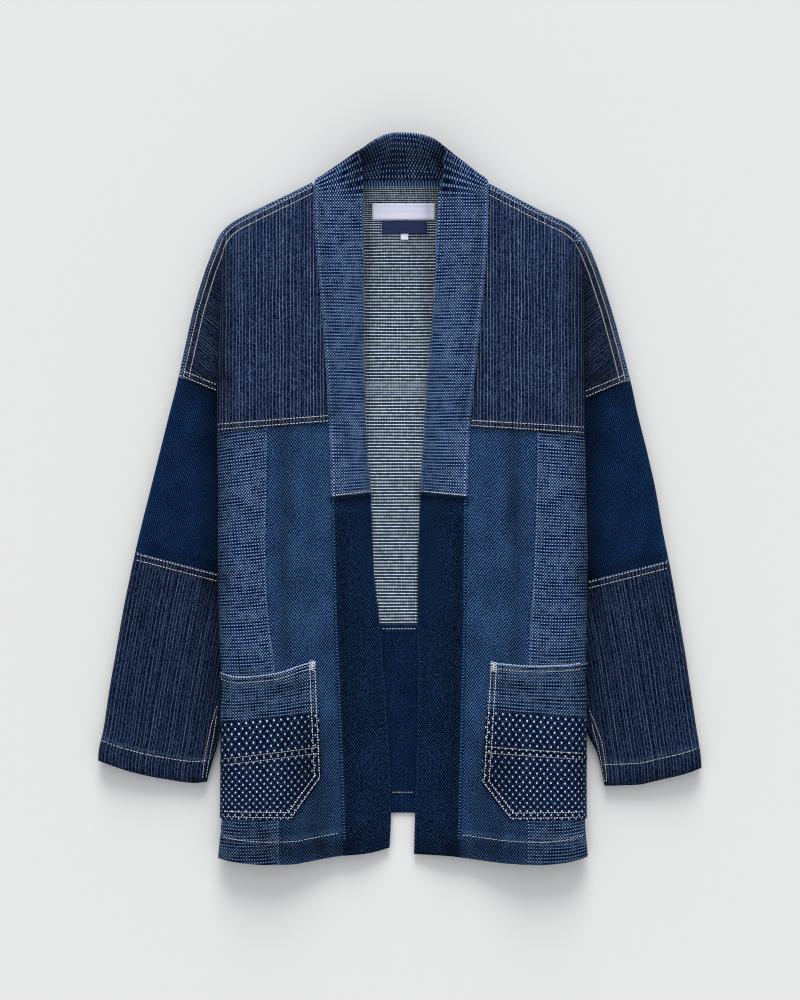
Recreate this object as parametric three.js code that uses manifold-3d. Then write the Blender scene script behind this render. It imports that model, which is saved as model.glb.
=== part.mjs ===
// Haori, an open jacket of patchwork denim, laid flat on its back.
// Millimetres. +X is to the right as the front is looked at, +Y runs from hem to neck, +Z is up.
// A side's sizes are measured outward from the middle, so x is side.sign times "out".

import * as THREE from "three";
import Module from "manifold-3d";

const wasm = await Module();
wasm.setup();

// Driving sizes
const cloth = 1.6;
const bandCloth = 3.0;
const labelCloth = 0.8;
const pocketCloth = 1.4;
const pocketGap = 0.7;
const seamGap = 0.4;
const layGap = 0.6;
const floorZ = cloth / 2;
const gussetOut = 100;
const backFoldOut = 186;
const backLipZ = 3.6;
const frontLipZ = 5.5;
const bandJoinY = 6.5;
const backSeamY = -131;
const backHemY = -331;
const neckSeamY = 337;
const neckRise = 11.8;

// Lines of each front, a row for each level: band edges, panel seam and side fold
const sides = [
  {
    name: "left",
    sign: -1,
    apex: { out: 188, y: 278 },
    yokeSeam: { atBand: 83.5, atFold: 74 },
    armhole: { out: 230.6, y: 130.4, slope: 0.42 },
    elbow: { out: 282.5, y: -62.5, slope: 0.263 },
    lines: [
      { y: 345, free: 40.3, band: 90.8, fold: 187 },
      { y: 287, free: 39.4, band: 90.4, fold: 187 },
      { y: 213, free: 39.0, band: 84.2, fold: 190.5 },
      { y: 150, free: 38.8, band: 79.5, fold: 193.2 },
      { y: 90, free: 38.0, band: 75.8, fold: 194.6 },
      { y: 6, free: 32.0, band: 73.1, fold: 193.6 },
      { y: -62, free: 29.5, band: 71.0, fold: 193.6 },
      { y: -147, free: 20.8, band: 68.0, fold: 192.0 },
      { y: -200, free: 16.8, band: 64.6, fold: 188.6 },
      { y: -331, free: 10.1, band: 64.1, fold: 189.6 },
      { y: -380, free: 12.4, band: 61.5, fold: 193.6 },
    ],
    panelSeam: [
      { y: 80, out: 140.5 },
      { y: -62, out: 142.6 },
      { y: -127, out: 139.4 },
      { y: -176, out: 133.0 },
      { y: -390, out: 127.7 },
    ],
    hem: [
      { out: 12, y: -367.8 },
      { out: 22, y: -371.0 },
      { out: 40, y: -374.2 },
      { out: 64, y: -375.2 },
      { out: 81, y: -377.4 },
      { out: 98, y: -383.7 },
      { out: 115, y: -387.0 },
      { out: 141, y: -388.0 },
      { out: 166, y: -385.8 },
      { out: 183, y: -382.7 },
      { out: 194, y: -379.0 },
    ],
    outline: [
      { out: 93.8, y: 338.0 },
      { out: 119.3, y: 325.4 },
      { out: 145.8, y: 312.7 },
      { out: 171.2, y: 300.0 },
      { out: 181.0, y: 293.8 },
      { out: 188.3, y: 287.0 },
      { out: 193.6, y: 279.8 },
      { out: 198.8, y: 267.0 },
      { out: 207.2, y: 245.0 },
      { out: 219.9, y: 202.5 },
      { out: 229.5, y: 160.0 },
      { out: 238.0, y: 121.0 },
      { out: 244.3, y: 96.5 },
      { out: 254.9, y: 54.1 },
      { out: 265.5, y: 11.7 },
      { out: 276.1, y: -30.7 },
      { out: 285.6, y: -73.1 },
      { out: 294.2, y: -115.5 },
      { out: 301.6, y: -157.9 },
      { out: 309.0, y: -200.3 },
      { out: 315.4, y: -242.7 },
      { out: 320.7, y: -269.2 },
      { out: 321.0, y: -280.0 },
    ],
    cuff: [
      { out: 200, y: -286.5 },
      { out: 208, y: -296.5 },
      { out: 217, y: -299.0 },
      { out: 251, y: -294.7 },
      { out: 285, y: -287.3 },
      { out: 321, y: -275.0 },
    ],
    pocket: {
      mouth: [
        { out: 84, y: -168.6 },
        { out: 100, y: -171.7 },
        { out: 135, y: -182.3 },
        { out: 172, y: -185.5 },
        { out: 196, y: -179.1 },
      ],
      change: { atInner: -224.7, atOuter: -235.3 },
      band: { atInner: -264.0, atOuter: -276.5 },
      innerTop: 89.6,
      innerLow: 84.3,
      chamferOut: 115,
      chamferHeight: 43.5,
      bottom: -336.5,
    },
  },
  {
    name: "right",
    sign: 1,
    apex: { out: 184, y: 272 },
    yokeSeam: { atBand: 78.4, atFold: 71 },
    armhole: { out: 243, y: 128.3, slope: 0.42 },
    elbow: { out: 284.6, y: -71, slope: 0.256 },
    lines: [
      { y: 345, free: 43.0, band: 93.0, fold: 184 },
      { y: 287, free: 38.7, band: 92.4, fold: 184 },
      { y: 243, free: 37.0, band: 89.6, fold: 191.5 },
      { y: 213, free: 35.5, band: 86.8, fold: 194.0 },
      { y: 150, free: 31.0, band: 80.4, fold: 194.6 },
      { y: 90, free: 26.5, band: 74.4, fold: 195.4 },
      { y: 6, free: 21.7, band: 71.0, fold: 197.0 },
      { y: -62, free: 19.0, band: 68.8, fold: 198.4 },
      { y: -147, free: 18.6, band: 67.8, fold: 197.2 },
      { y: -200, free: 18.6, band: 66.8, fold: 195.4 },
      { y: -331, free: 15.4, band: 64.5, fold: 195.6 },
      { y: -380, free: 14.3, band: 63.1, fold: 199.0 },
    ],
    panelSeam: [
      { y: 80, out: 144.7 },
      { y: 0, out: 143.6 },
      { y: -62, out: 141.5 },
      { y: -158, out: 136.2 },
      { y: -390, out: 134.1 },
    ],
    hem: [
      { out: 14, y: -374.8 },
      { out: 46, y: -376.3 },
      { out: 71, y: -379.5 },
      { out: 89, y: -382.7 },
      { out: 114, y: -387.0 },
      { out: 148, y: -389.0 },
      { out: 173, y: -385.8 },
      { out: 190, y: -380.5 },
      { out: 199, y: -376.3 },
    ],
    outline: [
      { out: 93.8, y: 337.0 },
      { out: 124.0, y: 321.2 },
      { out: 152.6, y: 306.3 },
      { out: 178.6, y: 293.6 },
      { out: 187.1, y: 287.2 },
      { out: 193.4, y: 280.9 },
      { out: 200.8, y: 268.2 },
      { out: 210.4, y: 244.9 },
      { out: 224.2, y: 202.5 },
      { out: 235.9, y: 160.1 },
      { out: 246.4, y: 117.7 },
      { out: 250.7, y: 96.5 },
      { out: 261.3, y: 54.1 },
      { out: 270.8, y: 11.7 },
      { out: 278.2, y: -30.7 },
      { out: 286.7, y: -73.1 },
      { out: 294.2, y: -115.5 },
      { out: 301.6, y: -157.9 },
      { out: 307.9, y: -200.3 },
      { out: 314.3, y: -242.7 },
      { out: 318.5, y: -269.2 },
      { out: 319.6, y: -283.0 },
    ],
    cuff: [
      { out: 202, y: -292.0 },
      { out: 208, y: -299.5 },
      { out: 216, y: -302.8 },
      { out: 250, y: -301.0 },
      { out: 275, y: -295.7 },
      { out: 301, y: -289.4 },
      { out: 319, y: -283.0 },
    ],
    pocket: {
      mouth: [
        { out: 95, y: -170.7 },
        { out: 143, y: -173.8 },
        { out: 173, y: -172.8 },
        { out: 200, y: -169.6 },
      ],
      change: { atInner: -220.5, atOuter: -229.0 },
      band: { atInner: -263.0, atOuter: -270.0 },
      innerTop: 94.9,
      innerLow: 87.0,
      chamferOut: 116,
      chamferHeight: 38,
      bottom: -337,
    },
  },
];

// Top heights by level: at the bands' free edges, at their seams and on the fronts' crest
const levels = [
  { y: 345, free: 36.0, band: 24.0, crest: 25.0 },
  { y: 287, free: 28.0, band: 25.5, crest: 27.0 },
  { y: 213, free: 16.0, band: 27.0, crest: 28.5 },
  { y: 150, free: 8.0, band: 27.6, crest: 29.4 },
  { y: 90, free: 5.4, band: 27.6, crest: 30.0 },
  { y: 6, free: 5.4, band: 27.0, crest: 30.0 },
  { y: -62, free: 5.4, band: 26.0, crest: 30.0 },
  { y: -147, free: 5.4, band: 23.5, crest: 30.0 },
  { y: -252, free: 5.4, band: 18.5, crest: 29.4 },
  { y: -331, free: 5.4, band: 14.0, crest: 28.0 },
  { y: -390, free: 5.4, band: 12.0, crest: 27.0 },
];

// Inner, hidden edge of each sleeve
const sleeveInner = [
  { y: 95, out: 132 },
  { y: 0, out: 150 },
  { y: -100, out: 172 },
  { y: -214, out: 195 },
  { y: -300, out: 208.5 },
];

// Soft folds of the fronts: a trough's middle line, depth and half width
const frontFolds = [
  { name: "centre panel", topY: 40, topOut: 121, lowY: -168, lowOut: 124, depth: 2.4, width: 9 },
  { name: "under the yoke", topY: 60, topOut: 168, lowY: -60, lowOut: 160, depth: 1.0, width: 8 },
  { name: "above the hem", topY: -342, topOut: 104, lowY: -410, lowOut: 98, depth: 1.6, width: 12 },
];

// Sleeves: top heights at the outer roll and at the hidden inner edge, the half widths of both
// rolls, and where the bottom comes down from the back's folds to the floor
const sleeveCrest = 16.5;
const sleeveThin = 10.4;
const sleeveRoll = 9;
const sleeveInnerRoll = 3;
const sleeveLift = 5;
const sleeveLandOut = 196;
const sleeveLandRun = 18;
const sleeveFullWidth = 70;
const sleeveFullEdge = 12;

// Shoulders: the back's roll, its seam's inset, the heights at the neck and at the drop shoulder
const shoulderRoll = 8;
const seamInset = 8.4;
const yokeInset = 0.6;
const shoulderHigh = 22;
const shoulderLow = 17;
const shoulderHighOut = 88;
const shoulderRun = 50;
const shoulderRise = 20;

// Fronts: how they rise from the bands, and the reaches of the round of each side fold
const crestRun = 70;
const foldReach = 26;
const foldReachMin = 4;
const foldProbe = 12;
const foldSlope = 2.1;
const underReach = 7;
const underDrop = 3.6;
const underShare = 0.45;
const underSlope = 1.9;
const lipRampStart = 26;
const lipRampRun = 12;

// Yokes: the span of their seam, the pleat's depths at its top and bottom, and the dip of the
// lip into the sleeve head, above the armhole
const yokeSeamInner = 75;
const yokeSeamRun = 120;
const pleatTop = 10;
const pleatLow = 64;
const yokeCorner = 5;
const yokeTopDrop = 14;
const headTopRise = 6;
const headDip = layGap + 0.4;
const headDipRun = 6;

// Back: where it rises to the neck, how wide the rise is, and the wings behind the sleeve heads
const neckRiseY = 294;
const neckRiseOut = 56;
const neckRiseFade = 40;
const torsoTopY = 100;
const wingLowY = 92;
const wingInset = 14;
const wingGap = 1.5;
const wingMinOut = 84;
const backFoldRound = 1.6;
const stripWidth = 26;
const stripLowY = 12;
const stripEndY = 3;

// Helpers

const clamp = (value, low, high) => Math.min(high, Math.max(low, value));
const mix = (from, to, t) => from + (to - from) * t;

function smooth(t) {
  const s = clamp(t, 0, 1);
  return s * s * (3 - 2 * s);
}

// Smooth curve through a table's rows, read at any value of its key
function read(rows, key, column, at) {
  const ordered = rows[0][key] < rows[rows.length - 1][key] ? rows : [...rows].reverse();
  const last = ordered.length - 1;
  const slope = (i) =>
    (ordered[i + 1][column] - ordered[i][column]) / (ordered[i + 1][key] - ordered[i][key]);
  const tangent = (i) => {
    if (i === 0) return slope(0);
    if (i === last) return slope(last - 1);
    const before = slope(i - 1);
    const after = slope(i);
    return before * after <= 0 ? 0 : (2 * before * after) / (before + after);
  };
  if (at <= ordered[0][key]) return ordered[0][column];
  if (at >= ordered[last][key]) return ordered[last][column];
  let i = 0;
  while (at > ordered[i + 1][key]) i += 1;
  const span = ordered[i + 1][key] - ordered[i][key];
  const t = (at - ordered[i][key]) / span;
  const t2 = t * t;
  const t3 = t2 * t;
  return (
    ordered[i][column] * (2 * t3 - 3 * t2 + 1) +
    ordered[i + 1][column] * (3 * t2 - 2 * t3) +
    tangent(i) * span * (t3 - 2 * t2 + t) +
    tangent(i + 1) * span * (t3 - t2)
  );
}

// Evenly spaced values from one number to another
function steps(from, to, count) {
  return Array.from({ length: count + 1 }, (_, i) => mix(from, to, i / count));
}

// Values in turn through several stretches, joined end to end
function stretches(...parts) {
  return parts.flatMap((part, i) => (i ? part.slice(1) : part));
}

// A wall of cloth on a surface of (u, v): two skins, low and high off it, closed at the edges.
// A ring closes on itself along u.
function clothWall(surface, us, vs, low, high, ring = false) {
  const grid = us.map((u) => vs.map((v) => new THREE.Vector3(...surface(u, v))));
  const columns = us.length;
  const rows = vs.length;
  const before = (i) => (ring ? (i + columns - 1) % columns : Math.max(i - 1, 0));
  const after = (i) => (ring ? (i + 1) % columns : Math.min(i + 1, columns - 1));
  const positions = [];
  for (const offset of [low, high]) {
    for (let i = 0; i < columns; i += 1) {
      for (let j = 0; j < rows; j += 1) {
        const across = grid[after(i)][j].clone().sub(grid[before(i)][j]);
        const up = grid[i][Math.min(j + 1, rows - 1)].clone().sub(grid[i][Math.max(j - 1, 0)]);
        const normal = across.cross(up).normalize();
        positions.push(...grid[i][j].clone().addScaledVector(normal, offset).toArray());
      }
    }
  }
  const skin = columns * rows;
  const at = (layer, i, j) => layer * skin + (i % columns) * rows + j;
  const faces = [];
  const quad = (a, b, c, d) => faces.push(a, b, c, a, c, d);
  const cells = ring ? columns : columns - 1;
  for (let i = 0; i < cells; i += 1) {
    for (let j = 0; j < rows - 1; j += 1) {
      quad(at(1, i, j), at(1, i + 1, j), at(1, i + 1, j + 1), at(1, i, j + 1));
      quad(at(0, i, j), at(0, i, j + 1), at(0, i + 1, j + 1), at(0, i + 1, j));
    }
    const top = rows - 1;
    quad(at(0, i, 0), at(0, i + 1, 0), at(1, i + 1, 0), at(1, i, 0));
    quad(at(0, i, top), at(1, i, top), at(1, i + 1, top), at(0, i + 1, top));
  }
  if (!ring) {
    const end = columns - 1;
    for (let j = 0; j < rows - 1; j += 1) {
      quad(at(0, 0, j), at(1, 0, j), at(1, 0, j + 1), at(0, 0, j + 1));
      quad(at(0, end, j), at(0, end, j + 1), at(1, end, j + 1), at(1, end, j));
    }
  }
  const geometry = new THREE.BufferGeometry();
  geometry.setAttribute("position", new THREE.Float32BufferAttribute(positions, 3));
  geometry.setIndex(faces);
  return geometry;
}

// A wall on one side: u runs outward, and is taken the other way round on the mirrored side
function sideWall(side, surface, us, vs, low, high, ring = false) {
  const placed = (u, v) => {
    const [out, y, z] = surface(u, v);
    return [side.sign * out, y, z];
  };
  return clothWall(placed, side.sign < 0 ? [...us].reverse() : us, vs, low, high, ring);
}

function solidOf(geometry) {
  const vertProperties = new Float32Array(geometry.attributes.position.array);
  const triVerts = new Uint32Array(geometry.index.array);
  return new wasm.Manifold(new wasm.Mesh({ numProp: 3, vertProperties, triVerts }));
}

// Several walls of one cut piece, joined where they run into each other
function joinWalls(geometries) {
  const whole = geometries.map(solidOf).reduce((sum, next) => sum.add(next));
  const mesh = whole.getMesh();
  const geometry = new THREE.BufferGeometry();
  geometry.setAttribute("position", new THREE.Float32BufferAttribute(mesh.vertProperties, 3));
  geometry.setIndex(Array.from(mesh.triVerts));
  return geometry;
}

// Materials

const fabrics = {
  pinstripe: { color: 0x25334d, roughness: 0.92 },
  indigoTwill: { color: 0x0e2340, roughness: 0.9 },
  blueTwill: { color: 0x24405f, roughness: 0.9 },
  dottedSashiko: { color: 0x314a6a, roughness: 0.95 },
  lightSashiko: { color: 0x374b6b, roughness: 0.95 },
  dottedNavy: { color: 0x213752, roughness: 0.93 },
  dashReverse: { color: 0x656d7c, roughness: 0.95 },
  navyPlain: { color: 0x0b1e3a, roughness: 0.92 },
  whiteLabel: { color: 0xd8d8f0, roughness: 0.6 },
  navyLabel: { color: 0x1c2a4c, roughness: 0.6 },
};

const garment = new THREE.Group();
garment.name = "haori";

function addPiece(name, geometry, fabric) {
  const material = new THREE.MeshStandardMaterial({ metalness: 0, ...fabrics[fabric] });
  material.name = fabric;
  const mesh = new THREE.Mesh(geometry, material);
  mesh.name = name;
  garment.add(mesh);
}

// Lines shared by the pieces

const lineAt = (side, column, y) => read(side.lines, "y", column, y);
const levelAt = (column, y) => read(levels, "y", column, y);
const panelSeamAt = (side, y) => read(side.panelSeam, "y", "out", y);
const hemAt = (side, out) => read(side.hem, "out", "y", out);
const outlineAt = (side, y) => read(side.outline, "y", "out", y);
const sleeveInnerAt = (y) => read(sleeveInner, "y", "out", y);
const armholeAt = (side, out) => side.armhole.y - side.armhole.slope * (side.armhole.out - out);
const elbowAt = (side, out) => side.elbow.y - side.elbow.slope * (side.elbow.out - out);

function yokeSeamAt(side, out) {
  const t = clamp((out - yokeSeamInner) / yokeSeamRun, 0, 1);
  return mix(side.yokeSeam.atBand, side.yokeSeam.atFold, t);
}

// Top of a sleeve or of the sleeve head: full at its outer roll, thin at its hidden inner edge
function sleeveTopAt(side, out, y) {
  const outer = outlineAt(side, y);
  const width = Math.max(outer - sleeveInnerAt(y), sleeveFullWidth);
  const t = (outer - out - sleeveFullEdge) / (width - 2 * sleeveFullEdge);
  return mix(sleeveCrest, sleeveThin, smooth(t));
}

// Middle of a front's lip, which lies on the sleeve and, past it, on the back's lip
function lipZ(side, out, y) {
  const lifted = sleeveTopAt(side, out, y) + layGap + cloth / 2;
  return mix(frontLipZ, lifted, smooth((out - sleeveInnerAt(y) + lipRampStart) / lipRampRun));
}

// The outline moved inward, square to itself
function insetLine(side, inset) {
  return side.outline.map((point, i) => {
    const next = side.outline[Math.min(i + 1, side.outline.length - 1)];
    const last = side.outline[Math.max(i - 1, 0)];
    const run = Math.hypot(next.out - last.out, next.y - last.y);
    return {
      out: point.out + (inset * (next.y - last.y)) / run,
      y: point.y - (inset * (next.out - last.out)) / run,
    };
  });
}

for (const side of sides) side.shoulderSeam = insetLine(side, seamInset + 2 * seamGap + yokeInset);

// Shoulder seam of a side: a level for each out, and an out for each level
const shoulderSeamAt = (side, out) => read(side.shoulderSeam, "out", "y", out);
const headSeamAt = (side, y) => read(side.shoulderSeam, "y", "out", y);

function shoulderZ(out) {
  return mix(shoulderHigh, shoulderLow, smooth((out - shoulderHighOut) / shoulderRun)) - cloth / 2;
}

function foldDepth(side, out, y) {
  let depth = 0;
  for (const fold of frontFolds) {
    const t = (fold.topY - y) / (fold.topY - fold.lowY);
    const line = mix(fold.topOut, fold.lowOut, clamp(t, 0, 1));
    const ends = smooth(t * 5) * smooth((1 - t) * 5);
    depth += fold.depth * ends * Math.exp(-(((out - line) / fold.width) ** 2));
  }
  return depth;
}

// Middle of a front's upper layer
function frontZ(side, out, y) {
  const band = lineAt(side, "band", y);
  const rise = smooth((out - band) / crestRun);
  const open = mix(levelAt("band", y), levelAt("crest", y), rise) - cloth / 2;
  const below = Math.max(shoulderSeamAt(side, Math.min(out, side.apex.out)) - y, 0);
  return mix(shoulderZ(out), open, 1 - Math.exp(-below / shoulderRise)) - foldDepth(side, out, y);
}

// The round of a front's side fold at a level: where it starts, its widest height and its reaches
function sideFold(side, y) {
  const edge = lineAt(side, "fold", y) - cloth / 2;
  const under = lipZ(side, edge - underReach, y);
  const top = frontZ(side, edge - foldProbe, y);
  const drop = Math.min(underDrop, (top - under) * underShare);
  const widest = under + drop;
  const reach = clamp((top - widest) * foldSlope, foldReachMin, foldReach);
  return { edge, reach, widest, under: Math.min(underReach, drop * underSlope) };
}

// A front round its side fold: 0 to 1 across the top, to 2 round the fold, to 3 along the lip
function frontSurface(side, innerAt, lipEndAt, u, y) {
  const fold = sideFold(side, y);
  const start = fold.edge - fold.reach;
  const startZ = frontZ(side, start, y);
  if (u <= 1) {
    const out = mix(innerAt(y), start, u);
    return [out, y, frontZ(side, out, y)];
  }
  if (u <= 2) {
    const turn = (u - 1) * Math.PI;
    if (turn <= Math.PI / 2) {
      const out = start + fold.reach * Math.sin(turn);
      return [out, y, fold.widest + (startZ - fold.widest) * Math.cos(turn)];
    }
    const out = fold.edge - fold.under + fold.under * Math.sin(turn);
    const low = lipZ(side, fold.edge - fold.under, y);
    return [out, y, fold.widest + (fold.widest - low) * Math.cos(turn)];
  }
  const out = mix(fold.edge - fold.under, lipEndAt(y), u - 2);
  return [out, y, lipZ(side, out, y)];
}

const foldColumns = stretches(steps(1, 1.5, 4), steps(1.5, 2, 4));

// A point between two lines that are levels for each out, found where the surface comes to lie.
// Past the side fold both lines go on at the fold's own level.
function between(side, surface, lowAt, highAt, u, v) {
  let out = 120;
  let y = 0;
  for (let pass = 0; pass < 5; pass += 1) {
    y = mix(lowAt(out), highAt(out), v);
    out = u <= 1 ? surface(u, y)[0] : lineAt(side, "fold", y);
  }
  return surface(u, y);
}

// Centre front panel of blue twill, between the band and the dotted side panel
function centrePanel(side) {
  const panel = (u, y) => {
    const out = mix(lineAt(side, "band", y) + seamGap / 2, panelSeamAt(side, y) - seamGap / 2, u);
    return [out, y, frontZ(side, out, y)];
  };
  const hem = (out) => hemAt(side, out);
  const seam = (out) => yokeSeamAt(side, out) - seamGap;
  const surface = (u, v) => between(side, panel, hem, seam, u, v);
  return sideWall(side, surface, steps(0, 1, 6), steps(0, 1, 12), -cloth / 2, cloth / 2);
}

// Dotted side panel, round the side fold and back along its lip to the side seam
function sidePanel(side) {
  const inner = (y) => panelSeamAt(side, y) + seamGap / 2;
  const lipEnd = () => gussetOut - 2;
  const panel = (u, y) => frontSurface(side, inner, lipEnd, u, y);
  const hem = (out) => hemAt(side, out);
  const seam = (out) => yokeSeamAt(side, out) - seamGap;
  const surface = (u, v) => between(side, panel, hem, seam, u, v);
  const us = stretches(steps(0, 1, 3), foldColumns, steps(2, 3, 5));
  return sideWall(side, surface, us, steps(0, 1, 12), -cloth / 2, cloth / 2);
}

// Inner fold of the pleat between the yoke and the sleeve head
function pleatAt(side, y) {
  const top = side.apex.y;
  const t = clamp((top - y) / (top - side.yokeSeam.atFold), 0, 1);
  return lineAt(side, "fold", y) - mix(pleatTop, pleatLow, t);
}

// The last columns of a yoke's lip, from here on, lie in the sleeve head
const lipDipU = 2.84;

// Yoke: its front lies over the sleeve head, which goes on from the pleat's inner fold
function yoke(side) {
  const inner = (y) => lineAt(side, "band", y) + seamGap / 2;
  const panel = (u, y) => frontSurface(side, inner, (level) => pleatAt(side, level), u, y);
  const seam = (out) => yokeSeamAt(side, out);
  const front = (u, v) => {
    const shoulder = (out) => shoulderSeamAt(side, Math.min(out, side.apex.out - yokeCorner));
    const top = (out) => shoulder(out) - yokeTopDrop * clamp(u - 1, 0, 1);
    const point = between(side, panel, seam, top, u, v);
    const onHead = smooth((point[1] - armholeAt(side, point[0]) - yokeTopDrop) / headDipRun);
    point[2] -= u >= lipDipU ? headDip * onHead : 0;
    return point;
  };
  const flat = (u, y) => {
    const out = mix(pleatAt(side, y), headSeamAt(side, y), u);
    return [out, y, sleeveTopAt(side, out, y) - cloth / 2];
  };
  const armhole = (out) => armholeAt(side, out) + seamGap;
  const headTop = (u) => side.apex.y - yokeTopDrop + headTopRise * u;
  const head = (u, v) => between(side, flat, armhole, () => headTop(u), u, v);
  const us = stretches(steps(0, 1, 7), foldColumns, [2, 2.4, lipDipU, 3]);
  return joinWalls([
    sideWall(side, front, us, steps(0, 1, 8), -cloth / 2, cloth / 2),
    sideWall(side, head, [0, 0.1, 0.4, 0.7, 1], steps(0, 1, 7), -cloth / 2, cloth / 2),
  ]);
}

// A sleeve round its flat tube: top, outer roll, bottom and inner fold, a unit of u each
function sleeveSurface(side, u, y) {
  const outer = outlineAt(side, y) - cloth / 2;
  const inner = sleeveInnerAt(y) + cloth / 2;
  const bottomAt = (out) =>
    floorZ + sleeveLift * (1 - smooth((out - sleeveLandOut) / sleeveLandRun));
  const topAt = (out) => sleeveTopAt(side, out, y) - cloth / 2;
  if (u <= 1) {
    const out = mix(inner + sleeveInnerRoll, outer - sleeveRoll, u);
    return [out, y, topAt(out)];
  }
  if (u <= 2) {
    const turn = (u - 1) * Math.PI;
    const start = outer - sleeveRoll;
    const middle = (topAt(start) + bottomAt(start)) / 2;
    const half = (topAt(start) - bottomAt(start)) / 2;
    return [start + sleeveRoll * Math.sin(turn), y, middle + half * Math.cos(turn)];
  }
  if (u <= 3) {
    const out = mix(outer - sleeveRoll, inner + sleeveInnerRoll, u - 2);
    return [out, y, bottomAt(out)];
  }
  const turn = (u - 3) * Math.PI;
  const start = inner + sleeveInnerRoll;
  const middle = (topAt(start) + bottomAt(start)) / 2;
  const half = (topAt(start) - bottomAt(start)) / 2;
  return [start - sleeveInnerRoll * Math.sin(turn), y, middle - half * Math.cos(turn)];
}

const sleeveColumns = stretches(
  steps(0, 1, 5), steps(1, 2, 6), steps(2, 3, 6), steps(3, 4, 3),
).slice(0, -1);

function sleeveTube(side, lowAt, highAt, rows) {
  const surface = (u, v) => {
    let out = sleeveSurface(side, u, mix(lowAt(250), highAt(250), v))[0];
    for (let pass = 0; pass < 3; pass += 1) {
      out = sleeveSurface(side, u, mix(lowAt(out), highAt(out), v))[0];
    }
    return sleeveSurface(side, u, mix(lowAt(out), highAt(out), v));
  };
  return sideWall(side, surface, sleeveColumns, steps(0, 1, rows), -cloth / 2, cloth / 2, true);
}

// Back: flat on the floor, rising to the neck
function backZ(x, y) {
  const rise = clamp((y - neckRiseY) / (neckSeamY - neckRiseY), 0, 1) ** 2;
  return floorZ + neckRise * rise * (1 - smooth((Math.abs(x) - neckRiseOut) / neckRiseFade));
}

// The back's torso with a lip folded in at each side, from one level to another
function backTorso(lowAt, high, rows) {
  const surface = (u, v) => {
    const sign = Math.sign(u) || 1;
    const way = Math.abs(u);
    const flat = backFoldOut - backFoldRound - 0.4;
    let out = flat * Math.min(way, 1);
    let z = floorZ;
    if (way > 1 && way <= 2) {
      const turn = (way - 1) * Math.PI;
      const half = (backLipZ - floorZ) / 2;
      out = flat + backFoldRound * Math.sin(turn);
      z = floorZ + half - half * Math.cos(turn);
    } else if (way > 2) {
      out = mix(flat, gussetOut, way - 2);
      z = backLipZ;
    }
    const y = mix(lowAt(out), high, v);
    return [sign * out, y, z];
  };
  const half = stretches(steps(0, 1, 4), steps(1, 2, 4), steps(2, 3, 2));
  const us = stretches(half.map((u) => -u).reverse(), half);
  return clothWall(surface, us, steps(0, 1, rows), -cloth / 2, cloth / 2);
}

// The back's roll over a shoulder and down a sleeve head, to the seam on top
function shoulderStrip(side) {
  const path = side.outline.filter((point) => point.y > side.armhole.y + stripLowY);
  const endY = side.armhole.y + stripEndY;
  path.push({ out: outlineAt(side, endY), y: endY });
  const curve = new THREE.CatmullRomCurve3(
    path.map((point) => new THREE.Vector3(point.out, point.y, 0)),
    false,
    "centripetal",
  );
  const end = curve.getPointAt(1);
  const endTangent = curve.getTangentAt(1);
  // How far the strip's end slides along the outline to meet the armhole seam, by inset
  const slideAt = (inset) => {
    const y = end.y - endTangent.x * inset;
    return (armholeAt(side, end.x + endTangent.y * inset) + seamGap - y) / endTangent.y;
  };
  const surface = (u, v) => {
    const point = curve.getPointAt(v);
    const tangent = curve.getTangentAt(v);
    const inward = new THREE.Vector3(tangent.y, -tangent.x, 0);
    const onShoulder = tangent.x > -tangent.y;
    const top = onShoulder ? shoulderZ(point.x) : sleeveCrest - cloth / 2;
    const start = shoulderRoll + cloth / 2;
    let inset = mix(stripWidth, start, Math.min(u, 1));
    let z = backZ(point.x + inward.x * inset, point.y + inward.y * inset);
    if (u > 1) {
      const turn = (u - 1) * Math.PI;
      const half = (top - z) / 2;
      inset = start - shoulderRoll * Math.sin(turn);
      z += half - half * Math.cos(turn);
    }
    const slide = slideAt(inset) * smooth((v - 0.8) / 0.2);
    return [
      point.x + inward.x * inset + tangent.x * slide,
      point.y + inward.y * inset + tangent.y * slide,
      z,
    ];
  };
  const us = stretches([0, 1], steps(1, 2, 7));
  return sideWall(side, surface, us.reverse(), steps(0, 1, 15), -cloth / 2, cloth / 2);
}

// The back between the shoulders, out to the sleeve heads and up to the neck seam
function backShoulders() {
  const limit = (side, y) => {
    const armhole = [
      { y: wingLowY, out: 180 },
      { y: armholeAt(side, 181) + wingGap, out: 181 },
      { y: armholeAt(side, 222) + wingGap, out: 222 },
    ];
    const wing = read(armhole, "y", "out", y);
    return Math.min(wing, outlineAt(side, y) - wingInset);
  };
  const surface = (u, v) => {
    const y = mix(wingLowY, neckSeamY - seamGap, v);
    const side = sides[u < 0 ? 0 : 1];
    const x = u * Math.max(limit(side, y), wingMinOut);
    return [x, y, backZ(x, y)];
  };
  const vs = stretches(steps(0, 0.82, 8), steps(0.82, 1, 6));
  return clothWall(surface, steps(-1, 1, 12), vs, -cloth / 2, cloth / 2);
}

function backHemAt(out) {
  return backHemY - 38 * smooth((out - 20) / 150);
}

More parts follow.
